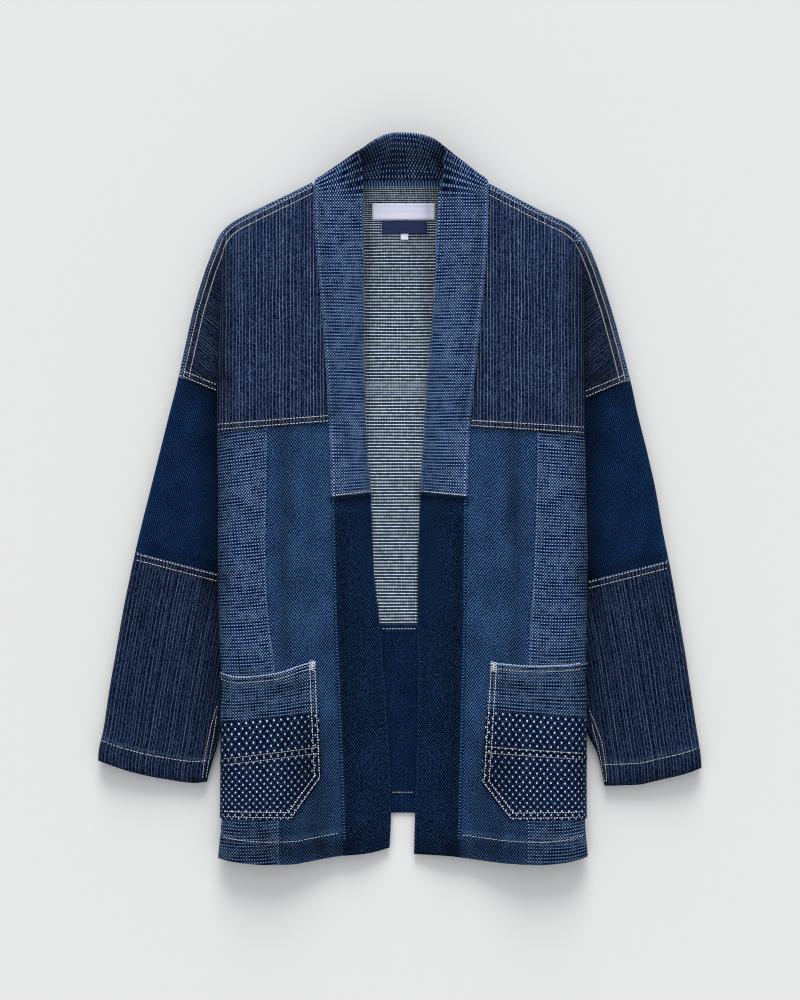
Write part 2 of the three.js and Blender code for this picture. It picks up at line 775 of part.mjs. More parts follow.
// Band: a doubled strip round the neck and down both fronts, as spokes from seam to free edge
const neckSpokes = [
  { seamOut: 90.6, seamY: 331, seamZ: 23.5, freeOut: 41.0, freeY: 348, freeZ: 38.5 },
  { seamOut: 90.2, seamY: 336, seamZ: 23.3, freeOut: 42.6, freeY: 364, freeZ: 40.6 },
  { seamOut: 88.6, seamY: 339.5, seamZ: 21.4, freeOut: 44.4, freeY: 372.3, freeZ: 38.0 },
  { seamOut: 85.0, seamY: 340.5, seamZ: 18.2, freeOut: 43.0, freeY: 375.0, freeZ: 34.2 },
  { seamOut: 74.0, seamY: 339.5, seamZ: 15.6, freeOut: 38.5, freeY: 380.8, freeZ: 34.6 },
  { seamOut: 52.0, seamY: 339.0, seamZ: 13.8, freeOut: 29.5, freeY: 385.0, freeZ: 36.2 },
  { seamOut: 26.0, seamY: 338.8, seamZ: 13.2, freeOut: 15.0, freeY: 387.6, freeZ: 37.4 },
];

function frontSpoke(side, y) {
  const seamOut = lineAt(side, "band", y) - seamGap / 2;
  const freeOut = lineAt(side, "free", y);
  const seamZ = Math.min(levelAt("band", y), frontZ(side, seamOut, y) + 2) - cloth / 2 + 0.2;
  return { seamOut, seamY: y, seamZ, freeOut, freeY: y, freeZ: levelAt("free", y) - bandCloth / 2 };
}

// Across a band, from its seam (0) to its free edge (1): level by the seam, steeper at the edge
function bandPoint(spoke, arch, w) {
  const fall = mix(w, 1 - Math.cos((w * Math.PI) / 2), arch);
  return [
    mix(spoke.seamOut, spoke.freeOut, w),
    mix(spoke.seamY, spoke.freeY, w),
    mix(spoke.seamZ, spoke.freeZ, fall),
  ];
}

function neckBand() {
  const ys = [bandJoinY + seamGap / 2, 50, 95, 140, 180, 215, 250, 280, 305, 322];
  const rows = [];
  const addRow = (side, spoke, arch) => rows.push({ sign: side.sign, arch, ...spoke });
  for (const y of ys) addRow(sides[0], frontSpoke(sides[0], y), smooth((290 - y) / 90));
  for (const spoke of neckSpokes) addRow(sides[0], spoke, 0);
  rows.push({
    sign: 1, arch: 0, seamOut: 0, seamY: 338.8, seamZ: 13.1, freeOut: -3, freeY: 388.4, freeZ: 37.8,
  });
  for (const spoke of [...neckSpokes].reverse()) {
    addRow(sides[1], { ...spoke, seamOut: spoke.seamOut + 2, freeOut: spoke.freeOut + 3.5 }, 0);
  }
  for (const y of [...ys].reverse()) {
    addRow(sides[1], frontSpoke(sides[1], y), smooth((290 - y) / 90));
  }
  const widths = steps(0, 1, 5);
  const curves = widths.map((w) => {
    const points = rows.map((row) => {
      const [out, y, z] = bandPoint(row, row.arch, w);
      return new THREE.Vector3(row.sign * out, y, z);
    });
    return new THREE.CatmullRomCurve3(points, false, "centripetal");
  });
  const surface = (u, v) => curves[Math.round(u * 5)].getPoint(v).toArray();
  const vs = steps(0, 1, Math.round((rows.length - 1) * 1.5));
  return clothWall(surface, widths, vs, -bandCloth / 2, bandCloth / 2);
}

function lowerBand(side) {
  const surface = (u, v) => {
    const lowY = hemAt(side, mix(62, 12, u));
    const y = mix(lowY, bandJoinY - seamGap / 2, v);
    return bandPoint(frontSpoke(side, y), 1, u);
  };
  const us = steps(1, 0, 5);
  return sideWall(side, surface, us, steps(0, 1, 12), -bandCloth / 2, bandCloth / 2);
}

// Pocket in three bands of cloth, each made from the front's points moved out
function pocketBand(side, lowAt, highAt, innerAt, rows) {
  const inner = (y) => lineAt(side, "band", y);
  const surface = (u, v) => {
    const guess = u <= 1 ? mix(95, 166, u) : 192;
    const y = mix(lowAt(guess), highAt(guess), v);
    const fold = sideFold(side, y);
    const start = fold.edge - fold.reach;
    const startU = (innerAt(y) - inner(y)) / (start - inner(y));
    return frontSurface(side, inner, () => gussetOut, u <= 1 ? mix(startU, 1, u) : u, y);
  };
  const us = stretches(steps(0, 1, 6), foldColumns.filter((u) => u < 1.6));
  const low = cloth / 2 + pocketGap;
  return sideWall(side, surface, us, steps(0, 1, rows), low, low + pocketCloth);
}

function pocketPieces(side) {
  const { mouth, change, band, innerTop, innerLow, chamferOut, chamferHeight, bottom } = side.pocket;
  const across = (out) => clamp((out - 88) / 104, 0, 1);
  const mouthAt = (out) => read(mouth, "out", "y", out);
  const changeAt = (out) => mix(change.atInner, change.atOuter, across(out));
  const bandAt = (out) => mix(band.atInner, band.atOuter, across(out));
  const innerAt = (y) => {
    const straight = mix(innerTop, innerLow, clamp((mouth[0].y - y) / 110, 0, 1));
    const cut = clamp((bottom + chamferHeight - y) / chamferHeight, 0, 1);
    return mix(straight, chamferOut, cut);
  };
  const above = (line) => (out) => line(out) + seamGap / 2;
  const below = (line) => (out) => line(out) - seamGap / 2;
  return {
    top: pocketBand(side, above(changeAt), mouthAt, innerAt, 3),
    middle: pocketBand(side, above(bandAt), below(changeAt), innerAt, 3),
    bottom: pocketBand(side, () => bottom, below(bandAt), innerAt, 4),
  };
}

// Bare woven labels inside the back, below the neck seam
const labels = [
  { name: "label_main", fabric: "whiteLabel", x0: -30.2, x1: 36.6, y0: 299, y1: 316, lift: 0.4 },
  { name: "label_origin", fabric: "navyLabel", x0: -19.6, x1: 28.1, y0: 284, y1: 296.8, lift: 1.6 },
  { name: "label_size", fabric: "whiteLabel", x0: 0.5, x1: 8, y0: 277.5, y1: 290, lift: 0.4 },
];

function label({ x0, x1, y0, y1, lift }) {
  const surface = (u, v) => {
    const x = mix(x0, x1, u);
    const y = mix(y0, y1, v);
    return [x, y, backZ(x, y)];
  };
  const low = cloth / 2 + lift;
  return clothWall(surface, steps(0, 1, 4), steps(0, 1, 4), low, low + labelCloth);
}

// The garment

addPiece(
  "back_upper",
  joinWalls([
    backTorso(() => backSeamY + seamGap / 2, torsoTopY, 2),
    backShoulders(),
    ...sides.map(shoulderStrip),
  ]),
  "dashReverse",
);
addPiece("back_lower", backTorso(backHemAt, backSeamY - seamGap / 2, 4), "navyPlain");

for (const side of sides) {
  addPiece(`front_yoke_${side.name}`, yoke(side), "pinstripe");
  addPiece(`front_centre_${side.name}`, centrePanel(side), "blueTwill");
  addPiece(`front_side_${side.name}`, sidePanel(side), "dottedSashiko");
  addPiece(
    `sleeve_upper_${side.name}`,
    sleeveTube(side, (out) => elbowAt(side, out) + seamGap / 2, (out) => armholeAt(side, out) - seamGap, 7),
    "indigoTwill",
  );
  addPiece(
    `sleeve_lower_${side.name}`,
    sleeveTube(side, (out) => read(side.cuff, "out", "y", out), (out) => elbowAt(side, out) - seamGap / 2, 7),
    "pinstripe",
  );
  addPiece(`band_lower_${side.name}`, lowerBand(side), "indigoTwill");
  const pocket = pocketPieces(side);
  addPiece(`pocket_top_${side.name}`, pocket.top, "lightSashiko");
  addPiece(`pocket_middle_${side.name}`, pocket.middle, "dottedNavy");
  addPiece(`pocket_bottom_${side.name}`, pocket.bottom, "dottedNavy");
}

addPiece("band_upper", neckBand(), "lightSashiko");
for (const item of labels) addPiece(item.name, label(item), item.fabric);

// The origin is at the middle of the underside
const box = new THREE.Box3().setFromObject(garment);
const middle = box.getCenter(new THREE.Vector3());
garment.position.set(-middle.x, -middle.y, -box.min.z);

export default garment;
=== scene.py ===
# Haori jacket of patchwork denim, laid flat on its back with its sleeves down its sides.
# Sizes are in millimetres until a mesh is placed. A side's sizes run outward from the middle.
import math
import random

import bmesh
import bpy
import numpy as np
from mathutils import Matrix, Vector
from mathutils.bvhtree import BVHTree


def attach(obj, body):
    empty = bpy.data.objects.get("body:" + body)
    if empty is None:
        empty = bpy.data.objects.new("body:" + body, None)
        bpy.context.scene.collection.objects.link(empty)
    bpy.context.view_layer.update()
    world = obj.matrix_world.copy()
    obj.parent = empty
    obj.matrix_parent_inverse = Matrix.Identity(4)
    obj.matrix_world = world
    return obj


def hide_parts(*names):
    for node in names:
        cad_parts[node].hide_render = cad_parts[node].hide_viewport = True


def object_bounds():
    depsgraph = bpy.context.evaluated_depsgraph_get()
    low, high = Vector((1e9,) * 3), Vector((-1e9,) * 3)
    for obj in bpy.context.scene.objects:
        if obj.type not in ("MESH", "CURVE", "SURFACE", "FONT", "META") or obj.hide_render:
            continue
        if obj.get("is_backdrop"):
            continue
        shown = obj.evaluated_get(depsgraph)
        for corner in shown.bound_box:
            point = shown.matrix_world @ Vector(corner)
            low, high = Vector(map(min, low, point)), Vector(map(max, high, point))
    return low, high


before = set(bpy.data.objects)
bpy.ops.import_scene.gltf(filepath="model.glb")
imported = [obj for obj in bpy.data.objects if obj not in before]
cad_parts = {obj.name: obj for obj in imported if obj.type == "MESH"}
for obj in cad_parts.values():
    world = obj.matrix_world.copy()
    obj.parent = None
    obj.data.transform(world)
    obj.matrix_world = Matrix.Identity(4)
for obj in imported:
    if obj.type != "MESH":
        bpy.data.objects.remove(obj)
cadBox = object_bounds()
mm = 0.001

# The part is centred on its box, so the garment's middle line lies a little off it
jacket = {
    "shift": (0.64, -0.02, 0.0),
    "cloth": 1.6,
    "bandCloth": 3.0,
    "labelCloth": 0.8,
    "pocketCloth": 1.4,
    "pocketGap": 0.7,
    "seamGap": 0.4,
    "layGap": 0.6,  # between cloths that lie on each other
    "gussetOut": 100,
    "backFoldOut": 186,
    "backLipZ": 3.6,
    "frontLipZ": 5.5,
    "bandJoinY": 6.5,
    "backSeamY": -131,
    "backHemY": -331,
    "neckSeamY": 337,
    "hemTurn": 24,
    "cuffTurn": 22.5,
    "backHemTurn": 21,
}
cloth = jacket["cloth"]
half = cloth / 2
seamGap = jacket["seamGap"]

# Each side: places are (out, y), a yoke seam is its y at the band and at the fold, a seam across a
# sleeve is where it meets the outline and its slope, and the rest are tables of a line's places
leftSide = {
    "name": "left",
    "sign": -1,
    "apex": (188, 278),
    "yokeSeam": (83.5, 74),
    "armhole": (230.6, 130.4, 0.42),
    "elbow": (282.5, -53.5, 0.263),
    "lines": {
        "y": (345, 287, 213, 150, 90, 6, -62, -147, -200, -331, -380),
        "free": (40.3, 39.4, 39, 38.8, 38, 32, 29.5, 20.8, 16.8, 10.1, 12.4),
        "band": (90.8, 90.4, 84.2, 79.5, 75.8, 73.1, 71.6, 69.4, 66.9, 62, 60.5),
        "fold": (187, 187, 190.5, 193.2, 194.6, 193.6, 193.6, 192, 188.6, 189.6, 193.6),
    },
    "panelSeam": {"y": (80, -62, -127, -176, -390), "out": (140.5, 142.6, 139.4, 133, 127.7)},
    "hem": {
        "out": (12, 22, 40, 64, 81, 98, 115, 141, 166, 183, 194),
        "y": (-367.8, -371, -374.4, -376.4, -379, -382, -384.6, -385, -383.4, -380.6, -378),
    },
    "outline": {
        "out": (93.8, 119.3, 145.8, 171.2, 181, 188.3, 193.6, 198.8, 207.2, 219.9, 229.5, 238, 244.3,
                254.9, 265.5, 276.1, 285.6, 294.2, 301.6, 309, 315.4, 320.7, 321),
        "y": (338, 325.4, 312.7, 300, 293.8, 287, 279.8, 267, 245, 202.5, 160, 121, 96.5,
              54.1, 11.7, -30.7, -73.1, -115.5, -157.9, -200.3, -242.7, -269.2, -280),
    },
    "cuff": {"out": (196, 205, 217, 251, 285, 321), "y": (-295.5, -297.5, -299, -294.7, -287.3, -275)},
    "sleeveInner": {
        "y": (95, 0, -100, -214, -250, -262, -275, -297, -300),
        "out": (132, 150, 172, 186, 192, 194.8, 199, 205, 205.4),
    },
    "underarm": (
        ((194.5, -217), (201, -238), (205.4, -261), (208, -274), (210, -294)),
        ((195.2, -228), (198.8, -252), (203.4, -275), (206.8, -293)),
    ),
    "pocket": {
        "mouth": {"out": (84, 100, 135, 172, 196), "y": (-168.6, -171.7, -182.3, -185.5, -179.1)},
        "change": (-224.7, -235.3), "band": (-264, -276.5),
        "inner": (89.6, 84.3), "chamfer": (115, 43.5), "bottom": -336.5,
    },
}
rightSide = {
    "name": "right",
    "sign": 1,
    "apex": (184, 272),
    "yokeSeam": (78.4, 71),
    "armhole": (243, 128.3, 0.42),
    "elbow": (284.6, -62.5, 0.256),
    "lines": {
        "y": (345, 287, 243, 213, 150, 90, 6, -62, -147, -200, -331, -380),
        "free": (43, 38.7, 37, 35.5, 31, 26.5, 21.7, 19, 18.6, 18.6, 15.4, 14.3),
        "band": (93, 92.4, 89.6, 86.8, 80.4, 74.4, 70.4, 69.6, 69, 67.4, 64.5, 63.1),
        "fold": (184, 184, 191.5, 194, 194.6, 195.4, 197, 198.4, 197.2, 195.4, 195.6, 199),
    },
    "panelSeam": {"y": (80, 0, -62, -158, -390), "out": (144.7, 143.6, 141.5, 136.2, 134.1)},
    "hem": {
        "out": (14, 46, 71, 89, 114, 148, 173, 190, 199),
        "y": (-374.8, -376.3, -378.9, -381.2, -383.8, -385.2, -383, -379.2, -376.3),
    },
    "outline": {
        "out": (93.8, 124, 152.6, 178.6, 187.1, 193.4, 200.8, 210.4, 224.2, 235.9, 246.4, 250.7,
                261.3, 270.8, 278.2, 286.7, 294.2, 301.6, 307.9, 314.3, 318.5, 319.6),
        "y": (337, 321.2, 306.3, 293.6, 287.2, 280.9, 268.2, 244.9, 202.5, 160.1, 117.7, 96.5,
              54.1, 11.7, -30.7, -73.1, -115.5, -157.9, -200.3, -242.7, -269.2, -283),
    },
    "cuff": {
        "out": (205, 217, 250, 275, 301, 319),
        "y": (-300.5, -302, -301, -295.7, -289.4, -283),
    },
    "sleeveInner": {
        "y": (95, 0, -100, -214, -240, -250, -262, -272, -290, -302),
        "out": (132, 150, 172, 190, 196, 199.5, 206, 210, 214, 216.5),
    },
    "underarm": (
        ((200.6, -222), (207.5, -239), (213.4, -254.6), (216.6, -275), (219, -298)),
        ((203, -236), (207, -252), (212, -269), (214.6, -284), (217.5, -298)),
    ),
    "pocket": {
        "mouth": {"out": (95, 143, 173, 200), "y": (-170.7, -173.8, -172.8, -169.6)},
        "change": (-220.5, -229), "band": (-263, -270),
        "inner": (94.9, 87), "chamfer": (116, 38), "bottom": -337,
    },
}
sides = (leftSide, rightSide)

# Top heights by level: at the bands' free edges, at their seams and on the fronts' crest
levels = {
    "y": (345, 287, 213, 150, 90, 6, -62, -147, -252, -331, -390),
    "free": (36, 28, 16, 8, 5.4, 5.4, 5.4, 5.4, 5.4, 5.4, 5.4),
    "band": (24, 25.5, 27, 27.6, 27.6, 27, 26, 23.5, 18.5, 14, 12),
    "crest": (25, 27, 28.5, 29.4, 30, 30, 30, 30, 29.4, 28, 27),
}

# Soft folds: from out and y, to out and y, depth (a ridge is below nought), half width
frontFolds = (
    (121, 40, 124, -168, 2.4, 9),
    (168, 60, 160, -60, 1.0, 8),
    (104, -342, 98, -410, 1.6, 12),
)
frontCreases = (
    (118, 52, 126, -60, 0.7, 5),
    (108, 30, 112, -150, -0.6, 8),
    (136, -20, 131, -150, -0.7, 7),
    (100, 262, 98, 96, 0.9, 9),
    (124, 268, 132, 110, -0.5, 12),
    (158, 262, 150, 140, 0.5, 10),
    (176, 236, 168, 90, 0.45, 9),
    (150, -60, 164, -150, 0.5, 9),
    (84, -20, 92, -160, -0.4, 8),
    (120, -345, 128, -388, 0.9, 8),
    (160, -345, 158, -386, 0.8, 10),
    (84, -300, 90, -384, -0.5, 9),
)
sleeveCreases = (
    (238, 96, 262, -50, 0.6, 9),
    (216, 60, 236, -60, -0.5, 10),
    (250, -90, 276, -262, 0.6, 8),
    (226, -96, 244, -250, -0.6, 7),
    (292, -100, 302, -240, -0.4, 8),
    (270, -250, 262, -296, 0.7, 7),
)
backCreases = (
    (-96, 210, -120, -60, 0.5, 14),
    (60, 180, 84, -110, 0.5, 16),
    (-12, 120, 6, -100, 0.35, 12),
    (-140, -150, -128, -340, 0.6, 14),
    (96, -160, 110, -330, 0.5, 15),
)

# How the cloth rises and rolls: a pair is where a slope starts and how far it runs
shape = {
    "sleeveCrest": 16.5,
    "sleeveThin": 10.4,
    "sleeveLeast": 70,
    "sleeveMargin": 12,
    "sleeveRoll": 9,
    "sleeveInnerRoll": 3,
    "sleeveLift": 5,
    "sleeveLandOut": 196,
    "sleeveLandRun": 18,
    "lipRise": (-26, 12),
    "yokeSlope": (75, 120),
    "shoulderHigh": 22,
    "shoulderLow": 17,
    "shoulderSlope": (88, 50),
    "shoulderFall": 20,
    "shoulderRoll": 8,
    "seamInset": 2.8,
    "yokeInset": 0.6,
    "crestRun": 70,
    "foldTopIn": 12,
    "foldReach": 26,
    "foldLeast": 4,
    "foldSteep": 2.1,
    "underShare": 0.45,
    "underReach": 7,
    "underDrop": 3.6,
    "underSteep": 1.9,
    "pleatTop": 10,
    "pleatLow": 64,
}

# Where cloth lies in soft shade: from x and y, to x and y, how dark, half width
softShades = (
    (-125, 80, -122, -165, 0.34, 8),
    (121, 75, 122, -165, 0.3, 9),
    (122, 20, 122, -35, 0.25, 8),
    (-193, 255, -190, 130, 0.45, 9),
    (194, 250, 196, 130, 0.45, 9),
    (-206, 230, -212, 125, 0.4, 22),
    (206, 230, 218, 125, 0.5, 24),
    (-197, 128, -196, -85, 0.5, 15),
    (199, 128, 200, -85, 0.5, 15),
    (-196, -80, -197, -290, 0.4, 16),
    (199, -80, 200, -290, 0.4, 16),
    (-320, -283, -198, -302, 0.35, 9),
    (320, -283, 198, -306, 0.35, 9),
    (-196, -378, -60, -368, 0.5, 14),
    (196, -376, 60, -370, 0.4, 15),
    (-62, -366, -12, -366, 0.3, 13),
    (62, -374, 12, -370, 0.4, 14),
    (-40, 364, 40, 364, 0.66, 24),
    (-39, 341, 39, 341, 0.85, 1.6),
    (-73, 0.6, -31, 5.4, 0.7, 3.2),
    (71, 0.6, 20, 5.4, 0.7, 3.2),
    (-194, 72, -80, 81, 0.45, 3.5),
    (197, 69, 76, 76, 0.45, 3.5),
    (-276, -46, -198, -67, 0.35, 4),
    (280, -56, 200, -76, 0.35, 4),
    (-96, 342, -184, 294, 0.3, 8),
    (96, 341, 184, 290, 0.3, 8),
    (-190, 290, -232, 150, 0.3, 6),
    (196, 278, 244, 150, 0.3, 6),
    (-62, -20, -58, -340, 0.3, 7),
    (62, -20, 56, -340, 0.3, 7),
    (-150, -330, -144, -380, 0.25, 7),
    (-96, -250, -90, -352, 0.5, 24),
    (98, -262, 92, -352, 0.42, 22),
    (-190, -352, -128, -354, 0.45, 16),
    (190, -350, 134, -354, 0.3, 15),
    (-92, -345, -80, -378, 0.25, 6),
    (104, -340, 96, -384, 0.25, 7),
    (-168, -178, -136, -192, 0.3, 5),
    (-86, 320, -72, 90, 0.3, 8),
    (86, 320, 72, 90, 0.3, 8),
    (-190, 92, -72, 96, 0.15, 12),
    (190, 92, 72, 96, 0.15, 12),
    (-46, 330, -40, 386, 0.4, 9),
    (46, 330, 42, 386, 0.4, 9),
    (-36, 330, -36, 0, 0.28, 5),
    (30, 330, 26, 0, 0.22, 5),
    (-134, -200, -110, -196, 0.4, 6),
    (134, -196, 110, -194, 0.3, 6),
)


# Curves and blends, on single values or whole arrays

def mix(low, high, t):
    return low + (high - low) * t


def smooth(t):
    s = np.clip(t, 0, 1)
    return s * s * (3 - 2 * s)


def follow(table, key, column, at):
    # A smooth curve through a table's columns that never overshoots them
    keys = np.array(table[key], float)
    values = np.array(table[column], float)
    if keys[0] > keys[-1]:
        keys, values = keys[::-1], values[::-1]
    slope = np.diff(values) / np.diff(keys)
    before, after = slope[:-1], slope[1:]
    turns = before * after <= 0
    inner = np.where(turns, 0, 2 * before * after / np.where(turns, 1, before + after))
    tangent = np.concatenate([slope[:1], inner, slope[-1:]])
    at = np.clip(np.asarray(at, float), keys[0], keys[-1])
    i = np.clip(np.searchsorted(keys, at, side="right") - 1, 0, len(keys) - 2)
    span = keys[i + 1] - keys[i]
    t = (at - keys[i]) / span
    start = values[i] * (2 * t**3 - 3 * t**2 + 1) + tangent[i] * span * (t**3 - 2 * t**2 + t)
    return start + values[i + 1] * (3 * t**2 - 2 * t**3) + tangent[i + 1] * span * (t**3 - t**2)


def spread(stops, counts):
    # Stops in turn, with so many even steps between one and the next
    parts = [np.linspace(a, b, n, endpoint=False) for a, b, n in zip(stops, stops[1:], counts)]
    return np.concatenate(parts + [[stops[-1]]])


def foldsAt(folds, out, y):
    # How deep the soft folds lie at a place: each a line with a rounded trough, fading at its ends
    depth = 0 * out
    for x0, y0, x1, y1, deep, width in folds:
        run = math.hypot(x1 - x0, y1 - y0)
        along = ((out - x0) * (x1 - x0) + (y - y0) * (y1 - y0)) / run**2
        off = ((out - x0) * (y1 - y0) - (y - y0) * (x1 - x0)) / run
        off = off + 0.35 * width * np.sin(along * 7 + x0)
        ends = smooth(along * 4) * smooth((1 - along) * 4)
        depth = depth + deep * ends * np.exp(-((off / width) ** 2))
    return depth


def ripples(out, y, size, seed):
    # Slight waves of cloth that was folded in a drawer: three crossing swells
    a = np.sin(out / 23 + 1.3 * np.sin(y / 71 + seed) + seed)
    b = np.sin(y / 37 + 0.8 * np.sin(out / 31 - seed) + 2 * seed)
    c = np.sin((out + y) / 17 + 1.1 * np.sin((out - y) / 53) + 3 * seed)
    return size * (0.45 * a + 0.35 * b + 0.2 * c)


def shadeAt(x, y):
    # How dark the soft shades make a place, from nought to one
    light = 1 + 0 * x
    for x0, y0, x1, y1, dark, width in softShades:
        run = math.hypot(x1 - x0, y1 - y0)
        along = np.clip(((x - x0) * (x1 - x0) + (y - y0) * (y1 - y0)) / run**2, 0, 1)
        off = np.hypot(x - mix(x0, x1, along), y - mix(y0, y1, along))
        light = light * (1 - dark * np.exp(-((off / width) ** 2)))
    return 1 - light


# Lines shared by the pieces

def lineAt(side, column, y):
    return follow(side["lines"], "y", column, y)


def levelAt(column, y):
    return follow(levels, "y", column, y)


def panelSeamAt(side, y):
    return follow(side["panelSeam"], "y", "out", y)


def hemAt(side, out):
    return follow(side["hem"], "out", "y", out)


def cuffAt(side, out):
    return follow(side["cuff"], "out", "y", out)


def outlineAt(side, y):
    return follow(side["outline"], "y", "out", y)


def sleeveInnerAt(side, y):
    return follow(side["sleeveInner"], "y", "out", y)


def armholeAt(side, out):
    atOut, y, slope = side["armhole"]
    return y - slope * (atOut - out)


def elbowAt(side, out):
    atOut, y, slope = side["elbow"]
    return y - slope * (atOut - out)


def yokeSeamAt(side, out):
    atBand, atFold = side["yokeSeam"]
    start, run = shape["yokeSlope"]
    return mix(atBand, atFold, np.clip((out - start) / run, 0, 1))


def sleeveTopAt(side, out, y):
    outer = outlineAt(side, y)
    margin = shape["sleeveMargin"]
    width = np.maximum(outer - sleeveInnerAt(side, y), shape["sleeveLeast"])
    t = (outer - out - margin) / (width - 2 * margin)
    return mix(shape["sleeveCrest"], shape["sleeveThin"], smooth(t))


def lipZ(side, out, y):
    lifted = sleeveTopAt(side, out, y) + jacket["layGap"] + half
    start, run = shape["lipRise"]
    return mix(jacket["frontLipZ"], lifted, smooth((out - sleeveInnerAt(side, y) - start) / run))


def insetLine(side, inset):
    # The shoulder and sleeve outline, moved inwards
    out = np.array(side["outline"]["out"], float)
    y = np.array(side["outline"]["y"], float)
    nextOut, nextY = np.append(out[1:], out[-1]), np.append(y[1:], y[-1])
    lastOut, lastY = np.append(out[0], out[:-1]), np.append(y[0], y[:-1])
    run = np.hypot(nextOut - lastOut, nextY - lastY)
    return {"out": out + inset * (nextY - lastY) / run, "y": y - inset * (nextOut - lastOut) / run}


for side in sides:
    side["shoulderSeam"] = insetLine(side, shape["seamInset"] + 2 * seamGap + shape["yokeInset"])


def shoulderSeamAt(side, out):
    return follow(side["shoulderSeam"], "out", "y", out)


def headSeamAt(side, y):
    return follow(side["shoulderSeam"], "y", "out", y)


def shoulderZ(out):
    start, run = shape["shoulderSlope"]
    return mix(shape["shoulderHigh"], shape["shoulderLow"], smooth((out - start) / run)) - half


def frontZ(side, out, y):
    # The front's middle line: from its band up to its crest, falling to the shoulder seam
    rise = smooth((out - lineAt(side, "band", y)) / shape["crestRun"])
    free = mix(levelAt("band", y), levelAt("crest", y), rise) - half
    below = np.maximum(shoulderSeamAt(side, np.minimum(out, side["apex"][0])) - y, 0)
    z = mix(shoulderZ(out), free, 1 - np.exp(-below / shape["shoulderFall"]))
    return z - foldsAt(frontFolds, out, y)


def sideFold(side, y):
    # Where a front folds under: its edge, how far it curves in, its widest height, the curve beneath
    edge = lineAt(side, "fold", y) - half
    under = lipZ(side, edge - shape["underReach"], y)
    top = frontZ(side, edge - shape["foldTopIn"], y)
    drop = np.minimum(shape["underDrop"], (top - under) * shape["underShare"])
    widest = under + drop
    reach = np.clip((top - widest) * shape["foldSteep"], shape["foldLeast"], shape["foldReach"])
    return edge, reach, widest, np.minimum(shape["underReach"], drop * shape["underSteep"])


def frontSurface(side, innerAt, lipEndAt, u, y):
    # A front round its side fold: 0 to 1 across the top, to 2 round the fold, to 3 along the lip
    edge, reach, widest, under = sideFold(side, y)
    start = edge - reach
    startZ = frontZ(side, start, y)
    turn = (np.clip(u, 1, 2) - 1) * math.pi
    low = lipZ(side, edge - under, y)
    topOut = mix(innerAt(y), start, u)
    upper = turn <= math.pi / 2
    foldOut = np.where(upper, start + reach * np.sin(turn), edge - under + under * np.sin(turn))
    foldZ = widest + np.where(upper, startZ - widest, widest - low) * np.cos(turn)
    lipOut = mix(edge - under, lipEndAt(y), u - 2)
    part = [u <= 1, u <= 2]
    out = np.select(part, [topOut, foldOut], lipOut)
    return out, y, np.select(part, [frontZ(side, topOut, y), foldZ], lipZ(side, lipOut, y))


def between(side, surface, lowAt, highAt, u, v):
    # A point between two lines that are levels for each out, found where the surface comes to lie
    out = np.full_like(u, 120.0)
    for turn in range(6):
        y = mix(lowAt(out), highAt(out), v)
        out = np.where(u <= 1.5, surface(u, y)[0], lineAt(side, "fold", y))
    return surface(u, y)


# Shells: a grid is laid out, shaped by a surface, given cloth coordinates and a thickness

def placed(side, points):
    x, y, z = points
    dx, dy, dz = jacket["shift"]
    sign = side["sign"] if side else 1
    return np.stack([sign * x + dx, y + dy, z + dz], -1) * mm


def normalsOf(surface, u, v):
    # Outward normals of a mapped surface, by small steps along u and v
    step = 1e-3
    a = np.stack(surface(u + step, v), -1) - np.stack(surface(u - step, v), -1)
    b = np.stack(surface(u, v + step), -1) - np.stack(surface(u, v - step), -1)
    n = np.cross(a, b)
    return n / np.maximum(np.linalg.norm(n, axis=-1, keepdims=True), 1e-9)


